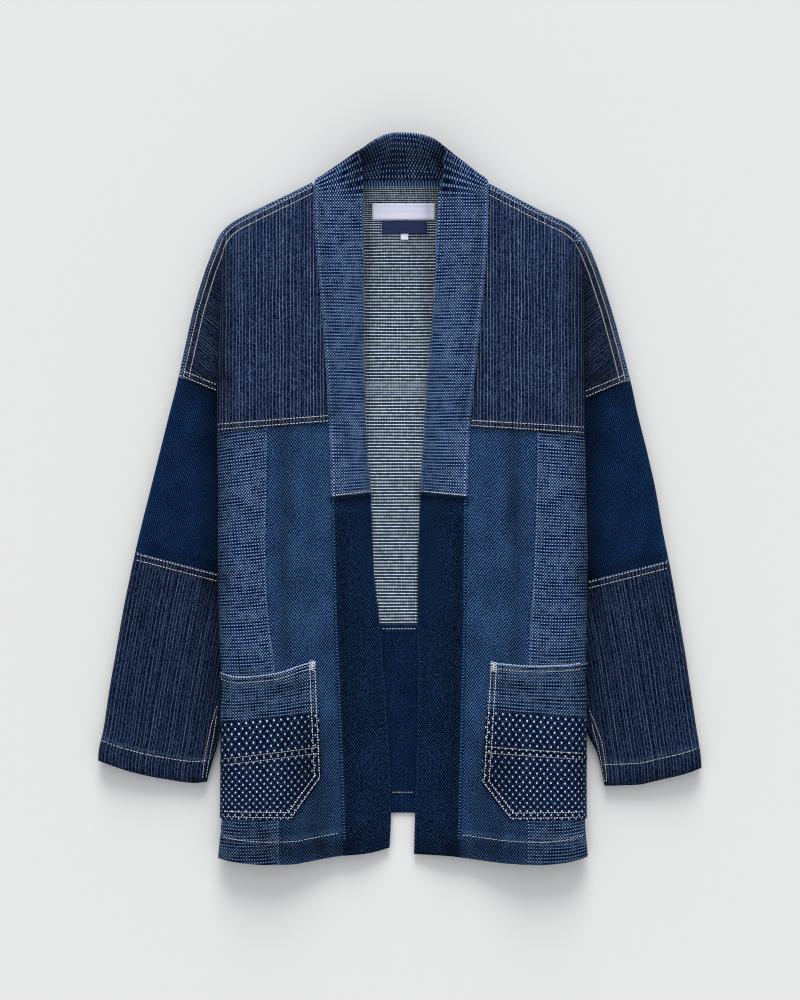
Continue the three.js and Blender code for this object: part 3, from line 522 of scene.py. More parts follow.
def layOut(bm, side, surface, us, vs, relief=None, start=None, grain=0.0, wear=None):
    # One grid of a shell. relief lifts it along its normal, start and grain set the pattern
    for name in ("wear", "shade"):
        if bm.verts.layers.float.get(name) is None:
            bm.verts.layers.float.new(name)
    layer = bm.loops.layers.uv.get("weave") or bm.loops.layers.uv.new("weave")
    verts = bmesh.ops.create_grid(bm, x_segments=len(us) - 1, y_segments=len(vs) - 1, size=1)["verts"]
    worn, shaded = bm.verts.layers.float["wear"], bm.verts.layers.float["shade"]
    flat = np.array([vert.co[:2] for vert in verts])
    spot = (flat - flat.min(0)) / (flat.max(0) - flat.min(0))
    i = np.rint(spot[:, 0] * (len(us) - 1)).astype(int)
    j = np.rint(spot[:, 1] * (len(vs) - 1)).astype(int)
    gridU, gridV = np.meshgrid(us, vs, indexing="ij")
    points = np.stack(surface(gridU, gridV), -1)
    across = np.hypot(np.diff(points[..., 0], axis=0), np.diff(points[..., 2], axis=0))
    s = np.vstack([0 * gridU[:1], np.cumsum(across, axis=0)])
    s = s + (points[0, :, 0] if start is None else start(vs))[None, :]
    up = np.linalg.norm(np.diff(points[: max(len(us) // 3, 2)], axis=1), axis=-1)
    t = np.concatenate([[0], np.cumsum(up.mean(0))])[None, :] + 0 * gridU
    t = t + points[:, 0, 1].mean()
    if relief is not None:
        # A grid laid from a high u to a low one takes its normals at its last column
        normals = normalsOf(surface, np.clip(gridU, us[0] + 1e-3, us[-1] - 1e-3), gridV)
        points = points + normals * relief(gridU, gridV, s, t)[..., None]
    turned = math.radians(grain)
    uvS = s * math.cos(turned) + t * math.sin(turned)
    uvT = t * math.cos(turned) - s * math.sin(turned)
    world = placed(side, np.moveaxis(points, -1, 0))
    wornGrid = wear(gridU, gridV, s, t) if wear is not None else 0 * gridU
    shadeGrid = shadeAt((side["sign"] if side else 1) * points[..., 0], points[..., 1])
    for vert, a, b in zip(verts, i, j):
        vert.co = world[a, b]
        vert[worn] = wornGrid[a, b]
        vert[shaded] = shadeGrid[a, b]
    where = {vert: (a, b) for vert, a, b in zip(verts, i, j)}
    faces = {face for vert in verts for face in vert.link_faces}
    for face in faces:
        face.smooth = True
        for loop in face.loops:
            a, b = where[loop.vert]
            loop[layer].uv = (uvS[a, b] * mm, uvT[a, b] * mm)
    if side and side["sign"] < 0:
        bmesh.ops.reverse_faces(bm, faces=list(faces))
    return points


def clothPiece(name, bm, node, slot, thickness, outside, inside):
    # A mesh made a wall of cloth, with a fabric for its outside and one for its inside
    mesh = bpy.data.meshes.new(name)
    bm.to_mesh(mesh)
    bm.free()
    mesh.materials.append(fabrics[outside])
    mesh.materials.append(fabrics[inside])
    piece = bpy.data.objects.new(name, mesh)
    bpy.context.scene.collection.objects.link(piece)
    wall = piece.modifiers.new("cloth", "SOLIDIFY")
    wall.thickness = thickness * mm
    wall.offset = 0.0
    wall.material_offset = 1
    wall.use_even_offset = False
    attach(piece, "root")
    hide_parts(node)
    return piece


# Materials

class Wire:
    # A socket's value inside a material, so that patterns are written as sums
    def __init__(self, tree, socket):
        self.tree = tree
        self.socket = socket

    def calc(self, operation, *values, clamp=False):
        settings = {"operation": operation, "use_clamp": clamp}
        return addNode(self.tree, "ShaderNodeMath", settings, dict(enumerate(values)))

    def __add__(self, other):
        return self.calc("ADD", self, other)

    def __sub__(self, other):
        return self.calc("SUBTRACT", self, other)

    def __rsub__(self, other):
        return self.calc("SUBTRACT", other, self)

    def __mul__(self, other):
        return self.calc("MULTIPLY", self, other)

    def __truediv__(self, other):
        return self.calc("DIVIDE", self, other)

    def __gt__(self, other):
        return self.calc("GREATER_THAN", self, other)

    __radd__ = __add__
    __rmul__ = __mul__

    def wave(self, pitch):
        return self.calc("COSINE", self * (2 * math.pi / pitch))

    def floor(self):
        return self.calc("FLOOR", self)

    def size(self):
        return self.calc("ABSOLUTE", self)

    def clamped(self):
        return self.calc("ADD", self, 0.0, clamp=True)

    def step(self, low, high):
        # Nought at low rising smoothly to one at high
        settings = {"interpolation_type": "SMOOTHSTEP"}
        return addNode(self.tree, "ShaderNodeMapRange", settings, {0: self, 1: low, 2: high})


def addNode(tree, kind, settings=None, inputs=None, output=0):
    # Any node: its settings first, then the values or links of its sockets
    node = tree.nodes.new(kind)
    for key, value in (settings or {}).items():
        if key == "stops":
            ramp = node.color_ramp
            while len(ramp.elements) < len(value):
                ramp.elements.new(0.5)
            for element, (position, colour) in zip(ramp.elements, value):
                element.position = position
                element.color = colour
        else:
            setattr(node, key, value)
    for key, value in (inputs or {}).items():
        if isinstance(value, Wire):
            tree.links.new(value.socket, node.inputs[key])
        else:
            node.inputs[key].default_value = value
    return Wire(tree, node.outputs[output])


def paint(red, green, blue, gain=1.0):
    # A colour as it shows on a screen, from 0 to 255, turned to linear light
    def linear(value):
        value = value / 255
        return value / 12.92 if value <= 0.04045 else ((value + 0.055) / 1.055) ** 2.4
    return (gain * linear(red), gain * linear(green), gain * linear(blue), 1.0)


class Fabric:
    # A cloth material: it starts with the cloth's own coordinates in millimetres
    def __init__(self, name, roughness=0.97, sheen=0.04):
        self.material = bpy.data.materials.new(name)
        self.material.use_nodes = True
        self.tree = self.material.node_tree
        self.tree.nodes.clear()
        out = self.tree.nodes.new("ShaderNodeOutputMaterial")
        self.shader = self.tree.nodes.new("ShaderNodeBsdfPrincipled")
        self.tree.links.new(self.shader.outputs[0], out.inputs[0])
        self.shader.inputs["Roughness"].default_value = roughness
        self.shader.inputs["Specular IOR Level"].default_value = 0.05
        self.shader.inputs["Sheen Weight"].default_value = sheen
        self.shader.inputs["Sheen Roughness"].default_value = 0.5
        self.shader.inputs["Sheen Tint"].default_value = (0.2, 0.42, 0.8, 1)
        uv = self.node("ShaderNodeUVMap", {"uv_map": "weave"})
        self.s = self.node("ShaderNodeSeparateXYZ", {}, {0: uv}, 0) * 1000
        self.t = self.node("ShaderNodeSeparateXYZ", {}, {0: uv}, 1) * 1000
        self.wear = self.node("ShaderNodeAttribute", {"attribute_name": "wear"}, output=2)
        self.shade = self.node("ShaderNodeAttribute", {"attribute_name": "shade"}, output=2)

    def node(self, kind, settings=None, inputs=None, output=0):
        return addNode(self.tree, kind, settings, inputs, output)

    def noise(self, s, t, detail=2.0, seed=0.0):
        # Soft noise from nought to one, a millimetre of s or t to a cell
        place = self.node("ShaderNodeCombineXYZ", {}, {0: s, 1: t, 2: seed})
        inputs = {"Vector": place, "Scale": 1.0, "Detail": detail, "Roughness": 0.55}
        return self.node("ShaderNodeTexNoise", {}, inputs)

    def chance(self, a, b, seed=0.0):
        # A random number for each whole cell
        place = self.node("ShaderNodeCombineXYZ", {}, {0: a.floor(), 1: b.floor(), 2: seed})
        return self.node("ShaderNodeTexWhiteNoise", {"noise_dimensions": "3D"}, {"Vector": place})

    def ramp(self, value, stops):
        return self.node("ShaderNodeValToRGB", {"stops": stops}, {0: value})

    def blend(self, factor, low, high):
        return self.node("ShaderNodeMix", {"data_type": "RGBA"}, {0: factor, 6: low, 7: high}, 2)

    def brighten(self, colour, factor):
        return self.node("ShaderNodeVectorMath", {"operation": "SCALE"}, {0: colour, "Scale": factor})

    def finish(self, colour, height=None, relief=0.25, tint=(1, 1, 1)):
        colour = self.node("ShaderNodeVectorMath", {"operation": "MULTIPLY"}, {0: colour, 1: tint})
        colour = self.brighten(colour, 1 - self.shade)
        self.tree.links.new(colour.socket, self.shader.inputs["Base Color"])
        if height is not None:
            inputs = {"Strength": 0.6, "Distance": relief * mm, "Height": height}
            bump = self.node("ShaderNodeBump", {}, inputs)
            self.tree.links.new(bump.socket, self.shader.inputs["Normal"])
        return self.material


def mixed(a, b, t):
    return tuple(mix(x, y, t) for x, y in zip(a, b))


def sashiko(name, pitch, dark, ground, light, tint=(1, 1, 1), dots=1.45, rows=0.5, seed=0.0):
    # Sashiko weave: rows of light dots, with dark holes between them a row lower
    cloth = Fabric(name)
    s = cloth.s + (cloth.noise(cloth.s / 38, cloth.t / 38, 0.0, seed) - 0.5) * 1.0
    t = cloth.t + (cloth.noise(cloth.s / 46, cloth.t / 46, 0.0, seed + 5) - 0.5) * 2.0
    uneven = 0.6 + 0.8 * cloth.chance(s / pitch[0] + 0.5, t / pitch[1] + 0.5, seed + 2)
    share = cloth.noise(cloth.s / 19, cloth.t / 12, 2.0, seed + 6).step(0.3, 0.7)
    dotted = dots * (0.6 + 0.6 * share) * s.wave(pitch[0]) * uneven
    level = t.wave(pitch[1]) * (rows * (1.5 - share) + dotted)
    fade = cloth.noise(cloth.s / 24, cloth.t / 24, 3.0, seed + 9) - 0.5
    fleck = cloth.chance(s / pitch[0], t / pitch[1], seed + 3) - 0.5
    value = (0.38 + 0.6 * level + 0.15 * fade + 0.2 * fleck + 0.2 * cloth.wear).clamped()
    stops = [(0.0, paint(*dark)), (0.3, paint(*mixed(dark, ground, 0.6))), (0.52, paint(*ground)),
             (0.78, paint(*mixed(ground, light, 0.5))), (1.0, paint(*light))]
    colour = cloth.brighten(cloth.ramp(value, stops), 1 + 0.4 * fade)
    return cloth.finish(colour, level, 0.45, tint)


def twill(name, pitch, dark, ground, light, tint=(1, 1, 1), depth=1.0, mottle=0.0, seed=0.0):
    # Twill as a fine crosshatch, one diagonal or the other a little stronger, with worn high spots
    cloth = Fabric(name)
    s = cloth.s + (cloth.noise(cloth.s / 33, cloth.t / 33, 0.0, seed) - 0.5) * 1.0
    t = cloth.t + (cloth.noise(cloth.s / 41, cloth.t / 41, 0.0, seed + 4) - 0.5) * 1.6
    one = (s / pitch[0] + t / pitch[1]).wave(1.0)
    two = (s / pitch[0] - t / pitch[1]).wave(1.0)
    share = 0.5 + 0.4 * (cloth.noise(cloth.s / 10, cloth.t / 14, 2.0, seed + 2) - 0.5)
    level = one * share + two * (1 - share)
    fleck = cloth.noise(s / 1.7, t / 2.1, 0.0, seed + 1) - 0.5
    fade = cloth.noise(cloth.s / 22, cloth.t / 36, 4.0, seed + 7) - 0.5
    speck = cloth.noise(cloth.s / 2.6, cloth.t / 3.2, 0.0, seed + 9) - 0.5
    value = 0.42 + depth * (0.72 * level + 0.9 * fleck) + 0.35 * fade + 0.3 * cloth.wear
    value = (value + mottle * speck).clamped()
    stops = [(0.0, paint(*dark)), (0.5, paint(*ground)), (1.0, paint(*light))]
    colour = cloth.brighten(cloth.ramp(value, stops), 1 + 0.5 * fade)
    return cloth.finish(colour, level + 2 * fleck, 0.22, tint)


def pinstripes(name, pitch, dark, ground, light, tint=(1, 1, 1), seed=0.0):
    # Dark denim with slubby pale stripes, none quite like the next
    cloth = Fabric(name)
    s = cloth.s + (cloth.noise(cloth.s / 30, cloth.t / 90, 1.0, seed) - 0.5) * 3.0
    cell = s / pitch
    pick = cloth.chance(cell, cloth.t * 0, seed + 1)
    lean = 0.5 + 0.4 * (cloth.chance(cell, cloth.t * 0, seed + 2) - 0.5)
    away = ((cell - cell.floor()) - lean).size() * pitch
    line = 1 - away.step(0.1, 0.75)
    slub = cloth.noise(s / 1.1, cloth.t / 3.2, 2.0, seed + 3).step(0.3, 0.7)
    run = cloth.noise(s / 2.6, cloth.t / 38, 1.0, seed + 4).step(0.25, 0.7)
    bright = line * (0.4 + 0.6 * pick) * (0.2 + 0.8 * slub) * (0.35 + 0.65 * run)
    yarn = cloth.noise(s / 0.6, cloth.t / 1.9, 2.0, seed + 5) - 0.5
    weft = cloth.chance(s / 1.15, cloth.t / 1.15, seed + 6) - 0.5
    fade = cloth.noise(cloth.s / 22, cloth.t / 40, 3.0, seed + 7) - 0.5
    body = (0.42 + 1.2 * yarn + 0.8 * weft + 0.3 * fade + 0.25 * cloth.wear).clamped()
    high = paint(*mixed(ground, light, 0.45))
    base = cloth.ramp(body, [(0.0, paint(*dark)), (0.5, paint(*ground)), (1.0, high)])
    colour = cloth.blend(bright.clamped(), base, paint(*light))
    return cloth.finish(cloth.brighten(colour, 1 + 0.4 * fade), bright + 0.5 * yarn, 0.3, tint)


def spotted(name, pitch, dark, ground, light, tint=(1, 1, 1)):
    # Navy cloth with rows of round white dots, each row shifted by half a step
    cloth = Fabric(name)
    s = cloth.s + (cloth.noise(cloth.s / 40, cloth.t / 40, 1.0) - 0.5) * 2.2
    t = cloth.t + (cloth.noise(cloth.s / 40, cloth.t / 40, 1.0, 3.0) - 0.5) * 2.2
    level = s.wave(pitch[0]) * t.wave(2 * pitch[1])
    pick = cloth.chance(s / pitch[0] * 2 + 0.5, t / pitch[1] + 0.5, 5.0)
    dots = level.step(0.72, 0.86) * (0.75 + 0.25 * pick)
    holes = (level * -1).step(0.35, 0.9)
    fleck = cloth.chance(s / 1.15, t / 1.2, 4.0) - 0.5
    cross = s.wave(pitch[0] / 3) * t.wave(pitch[1] / 1.6)
    body = (0.45 + 0.6 * fleck + 0.4 * cross - 0.5 * holes + 0.2 * cloth.wear).clamped()
    high = paint(*mixed(ground, light, 0.5))
    base = cloth.ramp(body, [(0.0, paint(*dark)), (0.5, paint(*ground)), (1.0, high)])
    fade = cloth.noise(cloth.s / 30, cloth.t / 30, 2.0, 6.0) - 0.5
    colour = cloth.brighten(cloth.blend(dots, base, paint(*light, 3.0)), 1 + 0.3 * fade)
    return cloth.finish(colour, 1.6 * dots + 0.6 * cross - holes, 0.5, tint)


def dashes(name, pitch, dark, light, tint=(1, 1, 1)):
    # Reverse of the sashiko: white floats in rows, with dark square holes between the rows. Where
    # the wear is past 1.5 it is a blue strip
    cloth = Fabric(name)
    s = cloth.s + (cloth.noise(cloth.s / 50, cloth.t / 50, 0.0) - 0.5) * 1.0
    t = cloth.t + (cloth.noise(cloth.s / 60, cloth.t / 30, 0.0, 3.0) - 0.5) * 1.2
    uneven = cloth.chance(s / pitch[0] + 0.5, t / pitch[1] + 0.5, 2.0) - 0.5
    band = t.wave(pitch[1]).step(0.3, 0.9)
    tie = s.wave(pitch[0]).step(0.35, 0.95) * 0.6
    strip = cloth.wear > 1.5
    value = (band * (1 + 0.3 * uneven) + (1 - band) * tie + 0.1 * uneven).clamped()
    fade = cloth.noise(cloth.s / 34, cloth.t / 34, 2.0, 6.0) - 0.5
    stops = [(0.0, paint(*dark)), (0.5, paint(*mixed(dark, light, 0.36))), (1.0, paint(*light))]
    plain = cloth.brighten(cloth.ramp(value, stops), 1 + 0.25 * fade)
    edge = cloth.blend(s.wave(pitch[0]).step(-0.3, 0.7), paint(14, 34, 70), paint(130, 170, 210))
    colour = cloth.blend(strip, plain, edge)
    return cloth.finish(colour, value, 0.6, tint)


def tape(name, colour, tint=(1, 1, 1)):
    # Woven label tape with fine ribs
    cloth = Fabric(name, roughness=0.55, sheen=0.05)
    rib = cloth.t.wave(1.3)
    fleck = cloth.noise(cloth.s / 1.5, cloth.t / 1.5, 2.0) - 0.5
    body = cloth.brighten(paint(*colour)[:3], 1 + 0.07 * rib + 0.3 * fleck)
    return cloth.finish(body, rib, 0.08, tint)


def thread(name, colour):
    # Sewing thread, twisted, with a little dirt in it
    cloth = Fabric(name, roughness=0.6, sheen=0.2)
    place = cloth.node("ShaderNodeTexCoord", {}, {}, 3)
    inputs = {"Vector": place, "Scale": 700.0, "Detail": 2.0}
    fleck = cloth.node("ShaderNodeTexNoise", {}, inputs) - 0.5
    return cloth.finish(cloth.brighten(paint(*colour)[:3], 1 + 0.9 * fleck), fleck, 0.1)


# Each fabric: its pattern, then the pitch in millimetres, colours from 0 to 255 and a tint
recipes = {
    "pinstripe": (pinstripes, {
        "pitch": 3.6, "dark": (0, 8, 30), "ground": (18, 38, 72), "light": (190, 190, 200),
        "tint": (0.455, 0.573, 0.764)}),
    "pinstripe sleeve": (pinstripes, {
        "pitch": 3.45, "dark": (0, 6, 26), "ground": (14, 32, 62), "light": (150, 148, 160),
        "tint": (0.4, 0.556, 0.726), "seed": 20.0}),
    "indigo twill": (twill, {
        "pitch": (2.4, 3.8), "dark": (0, 8, 32), "ground": (10, 32, 66), "light": (46, 92, 134),
        "tint": (0.51, 0.64, 0.75), "depth": 0.8}),
    "indigo band": (twill, {
        "pitch": (2.9, 4.1), "dark": (0, 6, 28), "ground": (8, 28, 58), "light": (64, 122, 170),
        "tint": (0.24, 0.27, 0.36), "depth": 1.3, "mottle": 1.1, "seed": 30.0}),
    "blue twill": (twill, {
        "pitch": (2.8, 3.8), "dark": (0, 16, 50), "ground": (28, 60, 100), "light": (124, 160, 200),
        "tint": (0.425, 0.55, 0.66), "depth": 1.05}),
    "dotted sashiko": (sashiko, {
        "pitch": (2.95, 3.5), "dark": (0, 6, 34), "ground": (30, 62, 108), "light": (220, 230, 250),
        "tint": (0.42, 0.6, 0.77)}),
    "light sashiko": (sashiko, {
        "pitch": (2.85, 3.5), "dark": (0, 8, 34), "ground": (38, 68, 110), "light": (214, 226, 250),
        "tint": (0.5, 0.67, 0.86), "seed": 3.0}),
    "pocket sashiko": (sashiko, {
        "pitch": (2.9, 3.6), "dark": (0, 6, 30), "ground": (26, 54, 92), "light": (216, 228, 248),
        "tint": (0.35, 0.52, 0.68), "dots": 1.6, "seed": 6.0}),
    "dotted navy": (spotted, {
        "pitch": (7.27, 5.17), "dark": (0, 6, 30), "ground": (14, 40, 80), "light": (252, 250, 246),
        "tint": (0.22, 0.32, 0.47)}),
    "dash reverse": (dashes, {
        "pitch": (2.9, 3.39), "dark": (0, 4, 12), "light": (252, 253, 255), "tint": (0.66, 0.78, 0.95)}),
    "navy plain": (twill, {
        "pitch": (2.8, 3.9), "dark": (0, 10, 32), "ground": (9, 30, 62), "light": (48, 88, 130),
        "tint": (0.3, 0.45, 0.57), "depth": 1.2, "mottle": 0.9, "seed": 50.0}),
    "dark reverse": (twill, {
        "pitch": (2.4, 3.5), "dark": (4, 10, 24), "ground": (34, 46, 70), "light": (110, 122, 146),
        "seed": 60.0}),
    "white label": (tape, {"colour": (222, 222, 244), "tint": (1.28, 1.27, 1.25)}),
    "navy label": (tape, {"colour": (30, 40, 78), "tint": (1.84, 1.69, 1.36)}),
    "cream thread": (thread, {"colour": (226, 220, 206)}),
    "blue thread": (thread, {"colour": (92, 146, 200)}),
    "lilac thread": (thread, {"colour": (196, 204, 232)}),
    "white thread": (thread, {"colour": (236, 238, 240)}),
}
fabrics = {name: make(name, **look) for name, (make, look) in recipes.items()}
print("fabrics made", len(fabrics))


# What the pieces share: cuts, seams, puckers, hems and wear

laps = {"band": 9, "yoke": 3, "panel": 3, "sink": 1.9}


def cutOf(*grids):
    # Width and length of a flat cut: the widths add up, the longest grid gives the length
    widths = [np.linalg.norm(np.diff(grid, axis=0), axis=-1).sum(0).max() for grid in grids]
    lengths = [np.linalg.norm(np.diff(grid, axis=1), axis=-1).sum(1).max() for grid in grids]
    return sum(widths), max(lengths)


def sheetOf(piece, cut):
    # Works out a cloth piece's flat cut, in metres, and its true area; nothing is done with them
    width, length = cut[0] * mm, cut[1] * mm
    area = min(sum(face.area for face in piece.data.polygons), width * length)


def near(distance, width):
    # One on a line, falling softly to nought beside it
    return np.exp(-((distance / width) ** 2))


def heights(t, atTop=True):
    # Distance of each grid point from the top or bottom edge of its piece
    return t.max() - t if atTop else t - t.min()


def nothing(u, v, s, t):
    return 0 * s


def frontRelief(side, extra):
    # Listed creases and ripples, with what a piece adds of its own
    def relief(u, v, s, t):
        out = np.minimum(s, 196)
        base = -foldsAt(frontCreases, out, t) + ripples(out, t, 0.35, side["sign"] + 2.0)
        return smooth((1.4 - u) / 0.5) * base + extra(u, v, s, t)
    return relief


def pucker(s, distance, size=0.28, pitch=8.5, seed=0.0):
    # Little puckers beside a row of stitches
    wavy = np.sin(s * 2 * math.pi / pitch + 1.7 * np.sin(s / 19 + seed))
    return size * wavy * near(distance, 7.0)


def ridge(distance, width, height):
    # The raised strip where a seam's turnings lie under the cloth
    return height * smooth((width - distance) / 2.0)


def hemRise(distance, turn, lift):
    # A turned-up hem is thicker, with a groove along its stitches
    inside = smooth((turn + 1.2 - distance) / 2.4)
    return lift * inside - 0.5 * near(distance - turn + 1.5, 1.6) - 0.5 * near(distance, 2.2)


def sewnHem(s, t, turn, lift=0.75, size=0.3):
    toHem = heights(t, False)
    return hemRise(toHem, turn, lift) + pucker(s, toHem - turn, size)


def hemWear(t, turn):
    # A hem is worn pale along its edge and just above its stitches
    low = heights(t, False)
    return 0.8 * near(low, 2.2) + 1.7 * near(low - turn - 3.4, 1.5)


def innerEdgeAt(side, y):
    return lineAt(side, "band", y) + seamGap / 2 - laps["band"]


def underBand(side, out, y):
    return smooth((lineAt(side, "band", y) + 2 - out) / 5)


def underYoke(side, out, y):
    return smooth((y - yokeSeamAt(side, out) + 1.5) / 3)


# Fronts: the centre panel, the side panel with its fold, and the yoke with the sleeve head

# stops and steps lay the grid across, rows up it
centre = {
    "stops": (0, 0.93, 1), "steps": (27, 5), "rows": 160,
    "wide": 76, "seamRise": 0.35, "seamIn": 3, "seamWidth": 3.0,
}


def centrePanel(side):
    turn = jacket["hemTurn"]

    def panel(u, y):
        out = mix(innerEdgeAt(side, y), panelSeamAt(side, y) + laps["panel"], u)
        return out, y, frontZ(side, out, y)

    def surface(u, v):
        seam = lambda out: yokeSeamAt(side, out) + laps["yoke"]
        out, y, z = between(side, panel, lambda out: hemAt(side, out), seam, u, v)
        underSide = smooth((out - panelSeamAt(side, y) + 1.2) / 2)
        sunk = np.maximum(np.maximum(underBand(side, out, y), underYoke(side, out, y)), underSide)
        return out, y, z - laps["sink"] * sunk

    def extra(u, v, s, t):
        seam = near((1 - u) * centre["wide"] - centre["seamIn"], centre["seamWidth"])
        return sewnHem(s, t, turn) + centre["seamRise"] * seam

    bm = bmesh.new()
    us, vs = spread(centre["stops"], centre["steps"]), spread((0, 1), (centre["rows"],))
    worn = lambda u, v, s, t: hemWear(t, turn)
    points = layOut(bm, side, surface, us, vs, frontRelief(side, extra), wear=worn)
    fabric = ("blue twill", "dark reverse")
    name = side["name"]
    piece = clothPiece(f"centrePanel.{name}", bm, f"front_centre_{name}", "blue_twill", cloth, *fabric)
    return piece, cutOf(points)


flank = {
    "stops": (0, 1, 1.5, 2, 3), "steps": (16, 14, 6, 18), "rows": 160,
    "wide": 36, "seamRise": 0.5, "seamWidth": 3.2, "seamWear": 1.5, "wearWidth": 1.8,
    "grain": {"left": -5, "right": -2},
}


def sidePanel(side):
    turn = jacket["hemTurn"]
    name = side["name"]

    def panel(u, y):
        seam = lambda level: panelSeamAt(side, level) + seamGap / 2
        return frontSurface(side, seam, lambda level: jacket["gussetOut"] - 2 + 0 * level, u, y)

    def surface(u, v):
        seam = lambda out: yokeSeamAt(side, out) + laps["yoke"]
        out, y, z = between(side, panel, lambda out: hemAt(side, out), seam, u, v)
        return out, y, z - laps["sink"] * underYoke(side, out, y) * smooth((1.5 - u) / 0.5)

    def extra(u, v, s, t):
        seam = flank["seamRise"] * near(u * flank["wide"], flank["seamWidth"])
        return smooth((1.6 - u) / 0.4) * (sewnHem(s, t, turn) + seam)

    def worn(u, v, s, t):
        return hemWear(t, turn) + flank["seamWear"] * near(u * flank["wide"], flank["wearWidth"])

    bm = bmesh.new()
    us, vs = spread(flank["stops"], flank["steps"]), spread((0, 1), (flank["rows"],))
    relief = frontRelief(side, extra)
    points = layOut(bm, side, surface, us, vs, relief, grain=flank["grain"][name], wear=worn)
    fabric = ("dotted sashiko", "dark reverse")
    piece = clothPiece(f"sidePanel.{name}", bm, f"front_side_{name}", "dotted_sashiko", cloth, *fabric)
    return piece, cutOf(points)


shoulder = {
    "stops": (0, 1, 1.5, 2, 2.75, 3), "steps": (38, 14, 6, 10, 5), "rows": 72,
    "headStops": (0, 0.4, 1), "headSteps": (8, 34), "headRows": 70, "headGrain": -62,
    "turnings": 8.5, "headTurnings": 9, "edgeTurnings": 8, "stitchIn": 4,
    "topDrop": 5, "foldDrop": 6, "headTop": 9, "dipOn": 14, "dipRun": 6, "dip": 0.4,
}


def pleatAt(side, y):
    top = side["apex"][1]
    t = np.clip((top - y) / (top - side["yokeSeam"][1]), 0, 1)
    return lineAt(side, "fold", y) - mix(shape["pleatTop"], shape["pleatLow"], t)


def yoke(side):
    # The yoke's front lies over its sleeve head, both of one cut, joined at a pleat inside
    endOut = side["apex"][0] - shoulder["topDrop"]
    headTop = side["apex"][1] - shoulder["topDrop"]
    stitchIn = shoulder["stitchIn"]

    def panel(u, y):
        edge = lambda level: innerEdgeAt(side, level)
        return frontSurface(side, edge, lambda level: pleatAt(side, level), u, y)

    def front(u, v):
        fall = shoulder["foldDrop"] * np.clip(u - 1, 0, 1)
        top = lambda out: shoulderSeamAt(side, np.minimum(out, endOut)) - fall
        out, y, z = between(side, panel, lambda out: yokeSeamAt(side, out), top, u, v)
        onHead = smooth((y - armholeAt(side, out) - shoulder["dipOn"]) / shoulder["dipRun"])
        dip = smooth((u - 2.75) / 0.1) * onHead * (jacket["layGap"] + shoulder["dip"])
        return out, y, z - dip - laps["sink"] * underBand(side, out, y) * (u < 0.5)

    def extra(u, v, s, t):
        toSeam, toTop = heights(t, False), heights(t, True)
        low = ridge(toSeam, shoulder["turnings"], 0.55) - 0.35 * near(toSeam, 1.2)
        high = ridge(toTop, shoulder["turnings"], 0.4) * smooth((1.1 - u) / 0.2)
        sewn = pucker(s, toSeam - stitchIn, 0.3, seed=2.0) + pucker(s, toTop - stitchIn, 0.22, 9.5, 4.0)
        return smooth((1.7 - u) / 0.3) * (low + high + sewn)

    def flat(u, y):
        out = mix(pleatAt(side, y), headSeamAt(side, y), u)
        return out, y, sleeveTopAt(side, out, y) - half

    def head(u, v):
        low = lambda out: armholeAt(side, out) + seamGap
        return between(side, flat, low, lambda out: headTop + shoulder["headTop"] * u, u, v)

    def headExtra(u, v, s, t):
        toSeam, toEdge = heights(t, False), s.max() - s
        raised = ridge(toSeam, shoulder["headTurnings"], 0.5) + ridge(toEdge, shoulder["edgeTurnings"], 0.4)
        sewn = pucker(s, toSeam - stitchIn, 0.3) + pucker(t, toEdge - stitchIn, 0.25)
        return raised + sewn + ripples(s, t, 0.3, 5.0)

    bm = bmesh.new()
    us, vs = spread(shoulder["stops"], shoulder["steps"]), spread((0, 1), (shoulder["rows"],))
    worn = lambda u, v, s, t: near(heights(t, False), 1.6) + near(heights(t, True), 1.8)
    points = layOut(bm, side, front, us, vs, frontRelief(side, extra), wear=worn)
    us = spread(shoulder["headStops"], shoulder["headSteps"])
    vs = spread((0, 1), (shoulder["headRows"],))
    worn = lambda u, v, s, t: near(heights(t, False), 1.6) + 0.8 * near(s.max() - s, 1.8)
    headPoints = layOut(bm, side, head, us, vs, headExtra, grain=shoulder["headGrain"], wear=worn)
    name = side["name"]
    fabric = ("pinstripe", "dark reverse")
    piece = clothPiece(f"yoke.{name}", bm, f"front_yoke_{name}", "pinstripe", cloth, *fabric)
    return piece, cutOf(points, headPoints)


# Sleeves: flat tubes that lie on the floor

tube = {"stops": (0, 1, 2, 3, 4), "steps": (34, 10, 22, 5), "rows": 80, "startOut": 250.0, "turnings": 9}


def sleeveSurface(side, u, y):
    # Round the flat tube: top, outer roll, bottom and inner fold, a unit of u each
    outer = outlineAt(side, y) - half
    inner = sleeveInnerAt(side, y) + half
    roll, innerRoll = shape["sleeveRoll"], shape["sleeveInnerRoll"]

    def bottomAt(out):
        landed = smooth((out - shape["sleeveLandOut"]) / shape["sleeveLandRun"])
        return half + shape["sleeveLift"] * (1 - landed)

    def topAt(out):
        return sleeveTopAt(side, out, y) - half

    def rolled(start, reach, turn, way):
        middle = (topAt(start) + bottomAt(start)) / 2
        tall = (topAt(start) - bottomAt(start)) / 2
        return start + way * reach * np.sin(turn), middle + way * tall * np.cos(turn)

    u = np.mod(u, 4)
    topOut = mix(inner + innerRoll, outer - roll, u)
    bottomOut = mix(outer - roll, inner + innerRoll, u - 2)
    outerX, outerZ = rolled(outer - roll, roll, (np.clip(u, 1, 2) - 1) * math.pi, 1)
    innerX, innerZ = rolled(inner + innerRoll, innerRoll, (np.clip(u, 3, 4) - 3) * math.pi, -1)
    part = [u <= 1, u <= 2, u <= 3]
    out = np.select(part, [topOut, outerX, bottomOut], innerX)
    return out, y, np.select(part, [topAt(topOut), outerZ, bottomAt(bottomOut)], innerZ)


